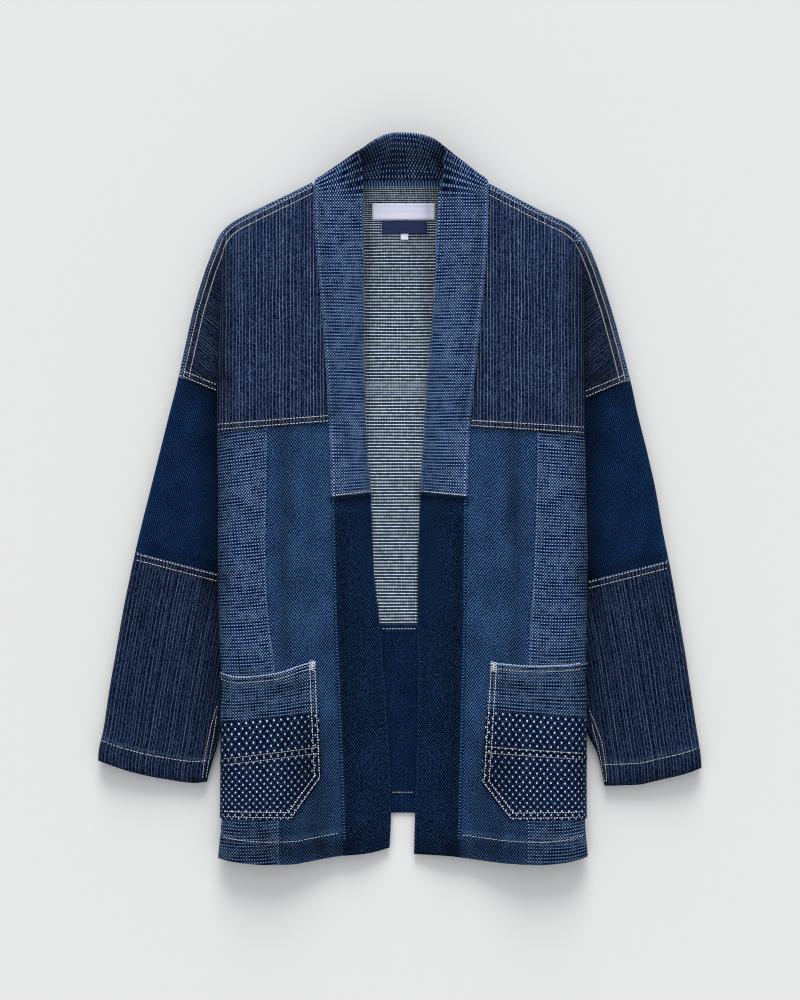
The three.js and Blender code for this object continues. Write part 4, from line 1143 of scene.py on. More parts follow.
def sleeve(side, name, node, lowAt, highAt, fabric, slot, relief, worn):
    def surface(u, v):
        out = np.full_like(u, tube["startOut"])
        for turn in range(5):
            out = sleeveSurface(side, u, mix(lowAt(out), highAt(out), v))[0]
        return sleeveSurface(side, u, mix(lowAt(out), highAt(out), v))

    def shaped(u, v, s, t):
        out, y, z = surface(u, v)
        top = smooth((1.3 - u) / 0.3) + smooth((u - 3.7) / 0.3)
        base = -foldsAt(sleeveCreases, out, y) + ripples(out, y, 0.4, side["sign"] + 7.0)
        return np.minimum(top, 1) * (base + relief(u, v, s, t))

    bm = bmesh.new()
    us, vs = spread(tube["stops"], tube["steps"]), spread((0, 1), (tube["rows"],))
    start = lambda v: surface(0 * v, v)[0] - surface(0 * v + 1, v)[0]
    points = layOut(bm, side, surface, us, vs, shaped, start=start, wear=worn)
    bmesh.ops.remove_doubles(bm, verts=bm.verts, dist=1e-6)
    return clothPiece(name, bm, node, slot, cloth, fabric, "dark reverse"), cutOf(points)


def sleeves(side):
    turn = jacket["cuffTurn"]

    def upper(u, v, s, t):
        toTop, toLow = heights(t, True), heights(t, False)
        dips = -0.5 * near(toTop, 2.5) - 0.4 * near(toLow, 2.5)
        return dips + pucker(s, toTop, 0.3) + pucker(s, toLow, 0.25)

    def lower(u, v, s, t):
        toTop = heights(t, True)
        raised = ridge(toTop, tube["turnings"], 0.5)
        return raised + pucker(s, toTop - 4, 0.3) + sewnHem(s, t, turn, 0.6, 0.35)

    name = side["name"]
    cuff = lambda out: cuffAt(side, out)
    underElbow = lambda out: elbowAt(side, out) - seamGap / 2
    overElbow = lambda out: elbowAt(side, out) + seamGap / 2
    armhole = lambda out: armholeAt(side, out) - seamGap
    worn = lambda u, v, s, t: near(heights(t, True), 1.8) + hemWear(t, turn)
    top = sleeve(side, f"upperSleeve.{name}", f"sleeve_upper_{name}", overElbow, armhole,
                 "indigo twill", "indigo_twill", upper, nothing)
    low = sleeve(side, f"lowerSleeve.{name}", f"sleeve_lower_{name}", cuff, underElbow,
                 "pinstripe sleeve", "pinstripe", lower, worn)
    return top, low


# The back: it lies on the floor, and its sides fold up under the fronts

back = {
    "foldIn": 2, "foldRound": 1.6, "lowRows": 64, "highRows": 84, "torsoTop": 96,
    "hemDrop": 38, "hemLift": 0.6, "neckRiseY": 294, "neckRise": 11.8, "neckHalf": 56, "neckRun": 40,
    "shouldersLow": 95, "shouldersOver": 3.5, "leastWide": 84, "stripWide": 8,
    "stripSteps": (22, 3), "stripRows": 96, "stripWear": 0.3, "stripInset": 26,
}
torsoUs = np.unique(np.round(np.concatenate([
    -spread((3, 2, 1), (14, 4)), spread((-1, 1), (110,)), spread((1, 2, 3), (4, 14)),
]), 6))


def backZ(x, y):
    # The back's middle line, flat but for its rise under the collar
    low = back["neckRiseY"]
    rise = np.clip((y - low) / (jacket["neckSeamY"] - low), 0, 1) ** 2
    return half + back["neckRise"] * rise * (1 - smooth((np.abs(x) - back["neckHalf"]) / back["neckRun"]))


def backTorso(lowAt, high):
    # Across the back, round its side folds and in along the gussets
    def surface(u, v):
        way = np.abs(u)
        flat = jacket["backFoldOut"] - back["foldIn"]
        turn = (np.clip(way, 1, 2) - 1) * math.pi
        tall = (jacket["backLipZ"] - half) / 2
        part = [way <= 1, way <= 2]
        folded = flat + back["foldRound"] * np.sin(turn)
        out = np.select(part, [flat * way, folded], mix(flat, jacket["gussetOut"], way - 2))
        z = np.select(part, [half + 0 * way, half + tall - tall * np.cos(turn)], jacket["backLipZ"] + 0 * way)
        return np.where(u < 0, -out, out), mix(lowAt(out), high, v), z
    return surface


def backRelief(extra):
    def relief(u, v, s, t):
        flat = smooth((1.0 - np.abs(u)) / 0.06)
        lifted = ripples(s, t, 0.25, 3.0) + 0.25 - foldsAt(backCreases, s, t) * 0.5
        return flat * np.maximum(lifted, 0) + extra(u, v, s, t)
    return relief


def lowerBack():
    low = lambda out: jacket["backHemY"] - back["hemDrop"] * smooth((out - 20) / 150)
    surface = backTorso(low, jacket["backSeamY"] - seamGap / 2)

    def extra(u, v, s, t):
        rise = hemRise(heights(t, False), jacket["backHemTurn"], back["hemLift"]) + 0.5
        return rise * smooth((1 - np.abs(u)) / 0.05)

    bm = bmesh.new()
    worn = lambda u, v, s, t: near(heights(t, False), 2.5)
    rows = spread((0, 1), (back["lowRows"],))
    points = layOut(bm, None, surface, torsoUs, rows, backRelief(extra), wear=worn)
    fabric = ("navy plain", "navy plain")
    return clothPiece("backLower", bm, "back_lower", "navy_plain", cloth, *fabric), cutOf(points)


def shoulderStrip(side, bm):
    # The back's roll over a shoulder and down a sleeve head, to the seam on top
    endY = side["armhole"][1] + 3
    outs, ys = np.array(side["outline"]["out"], float), np.array(side["outline"]["y"], float)
    above = ys > side["armhole"][1] + 12
    path = np.stack([np.append(outs[above], outlineAt(side, endY)), np.append(ys[above], endY)], -1)
    run = np.concatenate([[0], np.cumsum(np.hypot(*np.diff(path, axis=0).T))])
    line = {"share": run / run[-1], "x": path[:, 0], "y": path[:, 1]}

    def pathAt(v):
        return follow(line, "share", "x", v), follow(line, "share", "y", v)

    def direction(ahead, behind):
        x, y = ahead[0] - behind[0], ahead[1] - behind[1]
        length = np.hypot(x, y)
        return x / length, y / length

    def surface(u, v):
        v = np.clip(v, 0, 1)
        px, py = pathAt(v)
        tx, ty = direction(pathAt(np.clip(v + 0.03, 0, 1)), pathAt(np.clip(v - 0.03, 0, 1)))
        flip = np.where(ty > 0, -1, 1)
        inX, inY = flip * ty, -flip * tx
        top = np.where(tx > -ty, shoulderZ(px), shape["sleeveCrest"] - half)
        start = shape["shoulderRoll"] + half
        flatInset = mix(back["stripInset"], start, np.minimum(u, 1))
        low = backZ(px + inX * flatInset, py + inY * flatInset)
        turn = (np.clip(u, 1, 2) - 1) * math.pi
        tall = (top - low) / 2
        inset = np.where(u <= 1, flatInset, start - shape["shoulderRoll"] * np.sin(turn))
        z = np.where(u <= 1, low, low + tall - tall * np.cos(turn))
        endX, lastY = pathAt(1.0)
        ex, ey = direction((endX, lastY), pathAt(0.97))
        slide = (armholeAt(side, endX + ey * inset) + seamGap - (lastY - ex * inset)) / ey
        slide = slide * smooth((v - 0.8) / 0.2)
        return px + inX * inset + tx * slide, py + inY * inset + ty * slide, z

    us, vs = spread((2, 1, 0), back["stripSteps"]), spread((0, 1), (back["stripRows"],))
    worn = lambda u, v, s, t: back["stripWear"] + 0 * s
    waves = lambda u, v, s, t: ripples(s, v * 300, 0.25, 1.0)
    layOut(bm, side, surface, us, vs, waves, start=lambda v: 0 * v, wear=worn)


def upperBack():
    bm = bmesh.new()
    surface = backTorso(lambda out: jacket["backSeamY"] + seamGap / 2 + 0 * out, back["torsoTop"])
    seam = lambda u, v, s, t: ridge(heights(t, False), 7, 0.5)
    rows = spread((0, 1), (back["highRows"],))
    points = layOut(bm, None, surface, torsoUs, rows, backRelief(seam), wear=nothing)

    def limit(side, y):
        start, end = armholeAt(side, 181) + 1.5, armholeAt(side, 222) + 1.5
        table = {"y": (92, start, end), "out": (180, 181, 222)}
        return np.minimum(follow(table, "y", "out", y), outlineAt(side, y) - 14)

    def shoulders(u, v):
        y = mix(back["shouldersLow"], jacket["neckSeamY"] + back["shouldersOver"], v)
        wide = np.where(u < 0, limit(leftSide, y), limit(rightSide, y))
        x = u * np.maximum(wide, back["leastWide"])
        return x, y, backZ(x, y)

    # The strip along the neck seam is of another cloth: its wear, past 1.5, says so
    us, vs = spread((-1, 1), (130,)), spread((0, 0.8, 1), (60, 34))
    strip = lambda u, v, s, t: 2.0 * (heights(t) < back["stripWide"])
    topPoints = layOut(bm, None, shoulders, us, vs, None, wear=strip)
    for side in sides:
        shoulderStrip(side, bm)
    wide, low = cutOf(points)
    across, high = cutOf(topPoints)
    fabric = ("dash reverse", "light sashiko")
    piece = clothPiece("backUpper", bm, "back_upper", "dash_reverse", cloth, *fabric)
    return piece, (max(wide, across + 80), low + high)


# The band round the neck, as spokes from its seam to its free edge

neck = {
    "seamOut": (90.6, 90.2, 88.6, 85, 74, 52, 26),
    "seamY": (331, 336, 339.5, 340.5, 339.5, 339, 338.8),
    "seamZ": (23.5, 23.3, 21.4, 18.2, 15.6, 13.8, 13.2),
    "freeOut": (41, 42.6, 44.4, 43, 38.5, 29.5, 15),
    "freeY": (348, 362, 368.6, 369.8, 373, 379.4, 386.6),
    "freeZ": (38.5, 40.6, 38, 34.2, 34.6, 36.2, 37.4),
    "middle": (0, 338.8, 13.1, -3, 388.4, 37.8),
    "rightSeamOut": 2, "rightFreeOut": 3.5, "rightFreeY": (0, 1, 1.8, 3, 4, 3.6, 0.6),
    "frontYs": (50, 95, 140, 180, 215, 250, 280, 305, 322),
    "archEnds": (290, 90),
    "stops": (0, 0.12, 0.9, 1), "steps": (5, 16, 4), "rows": 330,
}
band = {
    "wide": 55.0, "seamSlant": -2.2, "freeSlant": 2.4,
    "stops": (1, 0.9, 0.12, 0), "steps": (4, 16, 5), "rows": 130, "hemOuts": (62, 12),
}


def frontSpoke(side, y):
    seamOut = lineAt(side, "band", y) - seamGap / 2
    seamZ = np.minimum(levelAt("band", y), frontZ(side, seamOut, y) + 2) - half + 0.2
    freeZ = levelAt("free", y) - jacket["bandCloth"] / 2
    return seamOut, y, seamZ, lineAt(side, "free", y), y, freeZ


def bandPoint(spoke, arch, u):
    fall = mix(u, 1 - np.cos(u * math.pi / 2), arch)
    return mix(spoke[0], spoke[3], u), mix(spoke[1], spoke[4], u), mix(spoke[2], spoke[5], fall)


def bandRelief(u):
    # A folded edge on each side, a faint ridge where the seam lies inside
    seam, free = u * band["wide"], (1 - u) * band["wide"]
    return ridge(seam, 6.5, 0.5) - 0.6 * near(seam, 1.4) - 0.7 * near(free, 1.6)


def neckRows(side):
    # Spokes up one front and round to the nape: the side's sign, how arched, and six places
    first = jacket["bandJoinY"] + seamGap / 2
    top, run = neck["archEnds"]
    rows = []
    for y in (first, *neck["frontYs"]):
        spoke = [float(value) for value in frontSpoke(side, y)]
        if y == first:
            spoke[1], spoke[4] = y + band["seamSlant"], y + band["freeSlant"]
        rows.append((side["sign"], float(smooth((top - y) / run)), spoke))
    columns = [list(neck[key]) for key in ("seamOut", "seamY", "seamZ", "freeOut", "freeY", "freeZ")]
    if side is rightSide:
        columns[0] = [value + neck["rightSeamOut"] for value in columns[0]]
        columns[3] = [value + neck["rightFreeOut"] for value in columns[3]]
        columns[4] = [value + more for value, more in zip(columns[4], neck["rightFreeY"])]
    return rows + [(side["sign"], 0.0, list(spoke)) for spoke in zip(*columns)]


def neckBand():
    rows = neckRows(leftSide) + [(1, 0.0, neck["middle"])] + neckRows(rightSide)[::-1]
    signs = np.array([row[0] for row in rows], float)
    arches = np.array([row[1] for row in rows])
    table = np.array([row[2] for row in rows], float)
    table[:, 0] *= signs
    table[:, 3] *= signs
    middle = (table[:, 0:3] + table[:, 3:6]) / 2
    run = np.concatenate([[0], np.cumsum(np.linalg.norm(np.diff(middle, axis=0), axis=1))])

    def curve(column, v):
        # A smooth line through the spokes that may swing a little past them
        at = v * run[-1]
        i = np.clip(np.searchsorted(run, at, side="right") - 1, 0, len(run) - 2)
        span = run[i + 1] - run[i]
        t = (at - run[i]) / span
        slopes = np.gradient(column, run)
        a = column[i] * (2 * t**3 - 3 * t**2 + 1) + slopes[i] * span * (t**3 - 2 * t**2 + t)
        return a + column[i + 1] * (3 * t**2 - 2 * t**3) + slopes[i + 1] * span * (t**3 - t**2)

    def surface(u, v):
        arch = np.clip(np.interp(v * run[-1], run, arches), 0, 1)
        return bandPoint([curve(table[:, k], v) for k in range(6)], arch, u)

    def relief(u, v, s, t):
        onFront = smooth((np.abs(v - 0.5) - 0.2) / 0.1)
        return bandRelief(u) + ripples(t, s, 0.35, 4.0) * onFront

    def worn(u, v, s, t):
        return 0.9 * near(u * band["wide"] - 2.5, 2.6) + 1.2 * near((1 - u) * band["wide"], 1.8)

    bm = bmesh.new()
    us, vs = spread(neck["stops"], neck["steps"]), spread((0, 1), (neck["rows"],))
    points = layOut(bm, None, surface, us, vs, relief, start=lambda v: 0 * v, wear=worn)
    fabric = ("light sashiko", "light sashiko")
    piece = clothPiece("neckBand", bm, "band_upper", "light_sashiko", jacket["bandCloth"], *fabric)
    return piece, cutOf(points)


def lowerBand(side):
    topY = jacket["bandJoinY"] - seamGap / 2

    def surface(u, v):
        lowY = hemAt(side, mix(*band["hemOuts"], u))
        y = mix(lowY, topY + mix(band["seamSlant"], band["freeSlant"], u), v)
        return bandPoint(frontSpoke(side, y), 1.0, u)

    def relief(u, v, s, t):
        ends = -0.5 * smooth((6 - heights(t, True)) / 3) - 0.6 * near(heights(t, False), 1.8)
        return bandRelief(u) + ends + ripples(s, t, 0.45, 8.0 + side["sign"])

    def worn(u, v, s, t):
        return 1.2 * near(u * band["wide"] - 1.5, 2.2) + 1.3 * near((1 - u) * band["wide"], 1.6)

    bm = bmesh.new()
    us, vs = spread(band["stops"], band["steps"]), spread((0, 1), (band["rows"],))
    points = layOut(bm, side, surface, us, vs, relief, wear=worn)
    name = side["name"]
    fabric = ("indigo band", "indigo band")
    thick = jacket["bandCloth"]
    piece = clothPiece(f"lowerBand.{name}", bm, f"band_lower_{name}", "indigo_twill", thick, *fabric)
    return piece, cutOf(points)


# Patch pockets, each of three strips on the side and centre panels

patch = {
    "stops": (0, 1, 1.5), "steps": (34, 10), "outs": (95, 166, 180), "levelOuts": (88, 104),
    "straight": 110, "turnings": 7, "mouthTurnings": 8, "mouthSag": 1.2,
}


def acrossPatch(out):
    start, run = patch["levelOuts"]
    return np.clip((out - start) / run, 0, 1)


def pocketStrip(side, name, node, lowAt, highAt, innerAt, fabric, slot, relief, worn, rows):
    lift = half + jacket["pocketGap"] + jacket["pocketCloth"] / 2
    bandAt = lambda y: lineAt(side, "band", y)
    lipEnd = lambda y: jacket["gussetOut"] + 0 * y

    def surface(u, v):
        inner, outer, folded = patch["outs"]
        out = np.where(u <= 1, mix(inner, outer, u), folded)
        for turn in range(6):
            y = mix(lowAt(out), highAt(out), v)
            edge, reach = sideFold(side, y)[:2]
            startU = (innerAt(y) - bandAt(y)) / (edge - reach - bandAt(y))
            place = frontSurface(side, bandAt, lipEnd, np.where(u <= 1, mix(startU, 1, u), u), y)
            out = place[0]
        return place

    bm = bmesh.new()
    us, vs = spread(patch["stops"], patch["steps"]), spread((0, 1), (rows,))
    shaped = lambda u, v, s, t: lift + relief(u, v, s, t)
    points = layOut(bm, side, surface, us, vs, shaped, wear=worn)
    thick = jacket["pocketCloth"]
    return clothPiece(name, bm, node, slot, thick, fabric, "dark reverse"), cutOf(points)


def pocket(side):
    item = side["pocket"]
    mouthAt = lambda out: follow(item["mouth"], "out", "y", out)
    changeAt = lambda out: mix(*item["change"], acrossPatch(out))
    bandAt = lambda out: mix(*item["band"], acrossPatch(out))
    gap = seamGap / 2

    def innerAt(y):
        straight = mix(*item["inner"], np.clip((item["mouth"]["y"][0] - y) / patch["straight"], 0, 1))
        cutOut, cutTall = item["chamfer"]
        return mix(straight, cutOut, np.clip((item["bottom"] + cutTall - y) / cutTall, 0, 1))

    def sewn(u, v, s, t):
        inEdge = s - s.min()
        return -0.45 * near(inEdge, 1.6) - 0.35 * near(inEdge - 7, 1.8)

    def top(u, v, s, t):
        toMouth = heights(t)
        sag = patch["mouthSag"] * near(toMouth - 16, 12) * u * (1 - u) * 2
        return sewn(u, v, s, t) + ridge(toMouth, patch["mouthTurnings"], 0.7) + sag - 0.4 * near(toMouth, 1.5)

    def low(u, v, s, t):
        raised = ridge(heights(t), patch["turnings"], 0.45)
        return sewn(u, v, s, t) + raised - 0.5 * near(heights(t, False), 1.6)

    wornTop = lambda u, v, s, t: 1.6 * near(heights(t), 1.5)
    strips = (
        ("Top", lambda o: changeAt(o) + gap, mouthAt, "pocket sashiko", "light_sashiko", top, wornTop, 22),
        ("Middle", lambda o: bandAt(o) + gap, lambda o: changeAt(o) - gap, "dotted navy", "dotted_navy",
         sewn, nothing, 16),
        ("Bottom", lambda o: item["bottom"] + 0 * o, lambda o: bandAt(o) - gap, "dotted navy", "dotted_navy",
         low, nothing, 28),
    )
    return [
        pocketStrip(side, f"pocket{part}.{side['name']}", f"pocket_{part.lower()}_{side['name']}",
                    lowAt, highAt, innerAt, fabric, slot, relief, worn, rows)
        for part, lowAt, highAt, fabric, slot, relief, worn, rows in strips
    ]


# Labels: the tapes lie on the back, under the collar, and stay bare

labels = (
    {"name": "label_main", "piece": "labelMain", "fabric": "white label", "slot": "white_label",
     "x": (-30.2, 36.6), "y": (299, 316), "lift": 0.4},
    {"name": "label_origin", "piece": "labelNavy", "fabric": "navy label", "slot": "navy_label",
     "x": (-19.6, 28.1), "y": (284, 296.8), "lift": 1.6},
    {"name": "label_size", "piece": "labelTab", "fabric": "white label", "slot": "white_label",
     "x": (0.5, 8), "y": (277.5, 290), "lift": 0.4},
)


def label(item):
    thick = jacket["labelCloth"]

    def surface(u, v):
        x, y = mix(*item["x"], u), mix(*item["y"], v)
        return x, y, backZ(x, y) + half + item["lift"] + thick / 2

    bm = bmesh.new()
    curl = lambda u, v, s, t: 0.35 * (2 * u - 1) ** 6 + 0.12 * np.sin(s / 6)
    points = layOut(bm, None, surface, spread((0, 1), (24,)), spread((0, 1), (10,)), curl)
    piece = clothPiece(item["piece"], bm, item["name"], item["slot"], thick, item["fabric"], item["fabric"])
    return piece, cutOf(points)


made = []
for side in sides:
    name = side["name"]
    made.append((*yoke(side), ["backUpper", f"sidePanel.{name}"]))
    made.append((*centrePanel(side), ["backUpper", "backLower"]))
    made.append((*sidePanel(side), [f"upperSleeve.{name}", "backLower"]))
    upperSleeve, lowerSleeve = sleeves(side)
    made.append((*upperSleeve, ["floor", "backUpper"]))
    made.append((*lowerSleeve, ["floor"]))
    made.append((*lowerBand(side), ["backLower", "backUpper"]))
    made += [(*strip, [f"sidePanel.{name}", f"centrePanel.{name}"]) for strip in pocket(side)]
made.append((*upperBack(), ["floor"]))
made.append((*lowerBack(), ["floor"]))
made.append((*neckBand(), ["backUpper"]))
made += [(*label(item), ["backUpper"]) for item in labels]
print("cloth pieces made", len(made))


# Sewing: rows of thread laid on whatever cloth lies on top

sewing = {
    "pitch": 3.1, "length": 2.6, "width": 0.85, "height": 0.5, "slant": 0.14, "sink": 0.15,
    "sides": 6, "rings": 4, "corners": 20,
    "shoulderInsets": (5.4, 11.4), "yokeRises": (1.6, 6.9), "armholeRises": (1.8, 7.6),
    "elbowRises": (-2.0, -8.2), "elbowTicks": (-0.6,), "cuffOuts": {"left": 206, "right": 215},
    "cuffEnd": 317, "hemStart": 66, "mouthEnd": 190, "mouthDrops": (0.9, 6.8), "bandRises": (3.2, -3.2),
    "patchInsets": (1.6, 7.0), "tack": (3.6, 4.4), "tackRows": 9, "tackPitch": 1.15, "tackLength": 7.6,
    "joinRise": 1.6, "bandTicksIn": 1.3, "backSeamY": -135.8, "backHemY": -309.4,
}
ticks = {"length": 1.9, "width": 0.55, "slant": math.pi / 2}


def clothTree():
    verts, faces, rise = [], [], []
    for piece, cut, restsOn in made:
        start = len(verts)
        verts += [vert.co.copy() for vert in piece.data.vertices]
        faces += [[start + k for k in face.vertices] for face in piece.data.polygons]
        rise += [piece.modifiers["cloth"].thickness / 2] * len(piece.data.polygons)
    return BVHTree.FromPolygons(verts, faces), rise


cloths, clothRise = clothTree()
threads = {}


def threadMesh(name, fabric):
    threads[name] = {"bm": bmesh.new(), "fabric": fabric}
    return threads[name]["bm"]


def topAt(x, y):
    # The cloth's top and its normal under a place given in millimetres
    dx, dy = jacket["shift"][:2]
    above = Vector(((x + dx) * mm, (y + dy) * mm, 0.2))
    hit, normal, index = cloths.ray_cast(above, Vector((0, 0, -1)))[:3]
    if hit is None:
        return None, None
    normal = normal if normal.z > 0 else -normal
    return hit + normal * clothRise[index], normal


def join(thread, row):
    # A finished row goes into its thread's mesh
    mesh = bpy.data.meshes.new("row")
    row.to_mesh(mesh)
    row.free()
    thread.from_mesh(mesh)
    bpy.data.meshes.remove(mesh)


def stitch(row, x, y, angle, length, width, height=sewing["height"]):
    # One stitch: a flat grain of thread, lying on the cloth
    spot, normal = topAt(x, y)
    if spot is None:
        return
    way = Vector((math.cos(angle), math.sin(angle), 0))
    way = (way - normal * way.dot(normal)).normalized()
    turn = Matrix((way, normal.cross(way), normal)).transposed().to_4x4()
    size = Matrix.Diagonal((length * mm, width * mm, height * mm, 1))
    place = Matrix.Translation(spot + normal * sewing["sink"] * mm) @ turn @ size
    sides, rings = sewing["sides"], sewing["rings"]
    bmesh.ops.create_uvsphere(row, u_segments=sides, v_segments=rings, radius=0.5, matrix=place)


def along(path):
    # A path as an array, and how far each of its points is along it
    path = np.array(path, float)
    return path, np.concatenate([[0], np.cumsum(np.hypot(*np.diff(path, axis=0).T))])


def sewRow(thread, side, path, seed, pitch=sewing["pitch"], length=sewing["length"],
           width=sewing["width"], slant=sewing["slant"]):
    # Stitches along a path of (out, y) places, no two quite alike
    chance = random.Random(seed)
    row = bmesh.new()
    sign = side["sign"] if side else 1
    path, run = along([(x * sign, y) for x, y in path])
    count = max(int(run[-1] / pitch), 1)
    for k in range(count):
        at = (k + 0.5 + chance.uniform(-0.08, 0.08)) / count * run[-1]
        x, y = np.interp(at, run, path[:, 0]), np.interp(at, run, path[:, 1])
        ends = (max(at - 1.5, 0), min(at + 1.5, run[-1]))
        reach = np.diff(np.interp(ends, run, path[:, 0]))[0]
        rise = np.diff(np.interp(ends, run, path[:, 1]))[0]
        angle = math.atan2(rise, reach) + slant + chance.uniform(-0.07, 0.07)
        stitch(row, x, y, angle, length * chance.uniform(0.88, 1.08), width * chance.uniform(0.85, 1.1))
    join(thread, row)


def sewBeside(thread, side, lineOf, ends, count, rises, seed, **look):
    # Rows beside a line that is a level for each out
    outs = np.linspace(*ends, count)
    for number, rise in enumerate(rises):
        path = [(out, float(lineOf(side, out)) + rise) for out in outs]
        sewRow(thread, side, path, seed + number, **look)


def offsetPath(path, distance):
    # A path beside another, to its right
    path = np.array(path, float)
    step = np.gradient(path, axis=0)
    run = np.hypot(step[:, 0], step[:, 1])
    return np.stack([path[:, 0] + distance * step[:, 1] / run, path[:, 1] - distance * step[:, 0] / run], -1)


def dense(path, gap=2.0):
    path, run = along(path)
    at = np.linspace(0, run[-1], max(int(run[-1] / gap), 2))
    return np.stack([np.interp(at, run, path[:, 0]), np.interp(at, run, path[:, 1])], -1)


def sewSide(side):
    name = side["name"]
    cream = threadMesh(f"creamStitches.{name}", "cream thread")
    blue = threadMesh(f"blueStitches.{name}", "blue thread")
    white = threadMesh(f"whiteStitches.{name}", "white thread")
    lilac = threadMesh(f"mouthStitches.{name}", "lilac thread")
    bandOut = lambda y: float(lineAt(side, "band", y))
    foldOut = lambda y: float(lineAt(side, "fold", y))
    for number, inset in enumerate(sewing["shoulderInsets"]):
        line = insetLine(side, inset)
        path = dense(list(zip(line["out"], line["y"])))
        path = [(o, y) for o, y in path if y > armholeAt(side, o) + 1 and o > bandOut(y) + 1]
        sewRow(cream, side, path, 11 + number)
    ends = bandOut(78.0) + 1, foldOut(80.0) - 1.5
    sewBeside(cream, side, yokeSeamAt, ends, 40, sewing["yokeRises"], 21)
    ends = foldOut(80.0) + 1, float(outlineAt(side, side["armhole"][1])) - 2
    sewBeside(cream, side, armholeAt, ends, 30, sewing["armholeRises"], 31)
    elbowY = side["elbow"][1]
    ends = foldOut(elbowY) + 1, float(outlineAt(side, elbowY)) - 2
    sewBeside(cream, side, elbowAt, ends, 40, sewing["elbowRises"], 41)
    sewBeside(blue, side, elbowAt, ends, 40, sewing["elbowTicks"], 43, **ticks)
    ends = sewing["cuffOuts"][name], sewing["cuffEnd"]
    sewBeside(cream, side, cuffAt, ends, 40, (jacket["cuffTurn"],), 51, width=0.7)
    ends = sewing["hemStart"], foldOut(-340.0) - 2
    sewBeside(cream, side, hemAt, ends, 50, (jacket["hemTurn"],), 53, width=0.65)
    for number, path in enumerate(side["underarm"]):
        sewRow(cream, side, dense(path), 55 + number, width=0.6)
    sewPocket(side, cream, white, lilac)
    sewBands(side, white, blue)


def sewPocket(side, cream, white, lilac):
    item = side["pocket"]
    mouth, innerOut, bottom = item["mouth"], item["inner"][0], item["bottom"]
    mouthOf = lambda side, out: follow(mouth, "out", "y", out)
    outs = [out for out in np.linspace(mouth["out"][0], sewing["mouthEnd"], 60) if out > innerOut - 1]
    edgeDrop, rowDrop = sewing["mouthDrops"]
    edge = [(out, float(mouthOf(side, out)) - edgeDrop) for out in outs]
    sewRow(lilac, side, edge, 61, pitch=2.6, length=2.4, width=1.4, slant=0.5 * side["sign"])
    sewRow(cream, side, [(out, float(mouthOf(side, out)) - rowDrop) for out in outs], 62, width=0.6)
    foldOut = float(lineAt(side, "fold", -300.0)) - 2
    bandOf = lambda side, out: mix(*item["band"], acrossPatch(out))
    ends = float(mix(*item["inner"], 0.8)) + 1, foldOut
    sewBeside(cream, side, bandOf, ends, 40, sewing["bandRises"], 63, width=0.65)
    cutOut, cutTall = item["chamfer"]
    top = float(mouthOf(side, innerOut))
    corners = [(item["inner"][1], bottom + cutTall), (cutOut, bottom), (foldOut, bottom + 1)]
    edge = dense([(innerOut, top), *corners])
    for number, inset in enumerate(sewing["patchInsets"]):
        line = offsetPath(edge, -inset)
        inside = [(out, y) for out, y in line if y > bottom + inset - 0.4 and out < foldOut]
        sewRow(white, side, inside, 71 + number, pitch=2.9, length=2.0, width=1.0, slant=0.0)
    tackIn, tackDrop = sewing["tack"]
    chance = random.Random(77)
    tack = bmesh.new()
    for k in range(sewing["tackRows"]):
        y = top - tackDrop + 4.6 - sewing["tackPitch"] * k
        angle = (0.35 if k % 2 else -0.35) + chance.uniform(-0.1, 0.1)
        x = side["sign"] * (innerOut + tackIn + chance.uniform(-0.4, 0.4))
        stitch(tack, x, y, angle, sewing["tackLength"], 0.7, 0.8)
    join(white, tack)


def sewBands(side, white, blue):
    # Edge stitches of the upper band's end and ticks down the lower band's seam
    y = jacket["bandJoinY"] + sewing["joinRise"]
    outs = np.linspace(float(lineAt(side, "free", y)) + 1, float(lineAt(side, "band", y)) - 1, 20)
    path = [(o, y + mix(band["freeSlant"], band["seamSlant"], k / 19)) for k, o in enumerate(outs)]
    sewRow(white, side, path, 81, pitch=2.5, length=2.2, width=1.1)
    ys = np.linspace(2, -360, 120)
    seam = [(float(lineAt(side, "band", y)) - sewing["bandTicksIn"], y) for y in ys]
    sewRow(blue, side, seam, 83, pitch=3.3, length=2.6, width=0.6, slant=ticks["slant"])


for side in sides:
    sewSide(side)
backThread = threadMesh("backStitches", "cream thread")
sewRow(backThread, None, [(x, sewing["backSeamY"]) for x in np.linspace(-19.5, 16.5, 20)], 91)
sewRow(backThread, None, [(x, sewing["backHemY"]) for x in np.linspace(-9, 13, 12)], 92, width=0.6)
stitches = 0
for name, item in threads.items():
    mesh = bpy.data.meshes.new(name)
    item["bm"].to_mesh(mesh)
    item["bm"].free()
    stitches += len(mesh.vertices) // sewing["corners"]
    mesh.materials.append(fabrics[item["fabric"]])
    mesh.shade_smooth()
    rows = bpy.data.objects.new(name, mesh)
    bpy.context.scene.collection.objects.link(rows)
    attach(rows, "root")
print("stitches made", stitches)


# Floor, light and camera: the camera looks straight down, 1.06 mm to each pixel of the picture

look = {
    "floor": 6.0, "floorZ": -0.0003, "floorColour": (0.8, 0.8, 0.8, 1),
    "skyColour": (0.97, 0.985, 1.0, 1), "sky": 0.70,
    "sun": 2.56, "sunColour": (1.0, 0.985, 0.96), "sunAngle": 34, "sunTilt": -66,
    "reference": 15, "pixel": 1.06, "rows": 1000, "centre": (-0.53, 1.06), "lens": 180.0, "sensor": 36.0,
}


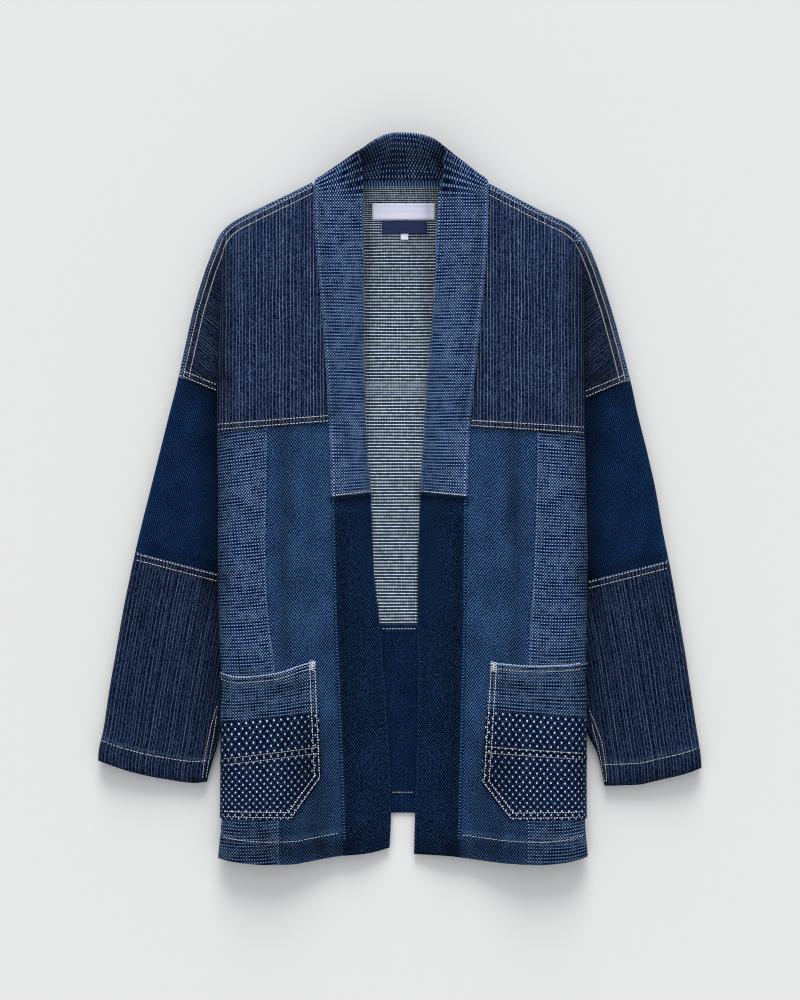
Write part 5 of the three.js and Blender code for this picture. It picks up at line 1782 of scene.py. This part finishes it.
def studio():
    scene = bpy.context.scene
    bm = bmesh.new()
    bmesh.ops.create_grid(bm, x_segments=2, y_segments=2, size=look["floor"] / 2)
    bmesh.ops.translate(bm, verts=bm.verts, vec=(0, 0, look["floorZ"]))
    mesh = bpy.data.meshes.new("floor")
    bm.to_mesh(mesh)
    bm.free()
    paper = bpy.data.materials.new("paper")
    paper.use_nodes = True
    shader = paper.node_tree.nodes["Principled BSDF"]
    shader.inputs["Base Color"].default_value = look["floorColour"]
    shader.inputs["Roughness"].default_value = 1.0
    shader.inputs["Specular IOR Level"].default_value = 0.0
    mesh.materials.append(paper)
    floor = bpy.data.objects.new("floor", mesh)
    scene.collection.objects.link(floor)
    floor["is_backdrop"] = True

    world = bpy.data.worlds.new("studio")
    world.use_nodes = True
    world.node_tree.nodes["Background"].inputs[0].default_value = look["skyColour"]
    world.node_tree.nodes["Background"].inputs[1].default_value = look["sky"]
    scene.world = world
    lamp = bpy.data.lights.new("window", "SUN")
    lamp.energy = look["sun"]
    lamp.angle = math.radians(look["sunAngle"])
    lamp.color = look["sunColour"]
    window = bpy.data.objects.new("window", lamp)
    window.rotation_euler = (math.radians(look["sunTilt"]), 0, 0)
    scene.collection.objects.link(window)

    camera = bpy.data.objects.new("camera", bpy.data.cameras.new("camera"))
    camera.data.lens = look["lens"]
    camera.data.sensor_width = look["sensor"]
    camera.data.clip_end = 100
    distance = look["rows"] * look["pixel"] * look["lens"] / look["sensor"]
    x = look["centre"][0] + jacket["shift"][0]
    y = look["centre"][1] + jacket["shift"][1]
    camera.location = (x * mm, y * mm, (look["reference"] + distance) * mm)
    scene.collection.objects.link(camera)
    scene.camera = camera
    scene.view_settings.view_transform = "Standard"
    scene.cycles.filter_width = 1.1
    print("studio made")


studio()

# labelTab is very narrow, so it is skipped; labelTab is narrower than a sheet may be,
# so it isn't declared
for piece, cut, restsOn in made:
    if piece.name != "labelTab":
        sheetOf(piece, cut)

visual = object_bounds()
for name, (low, high) in (("CAD box", cadBox), ("visual box", visual)):
    print(name, [round(1000 * (b - a), 1) for a, b in zip(low, high)], "mm")
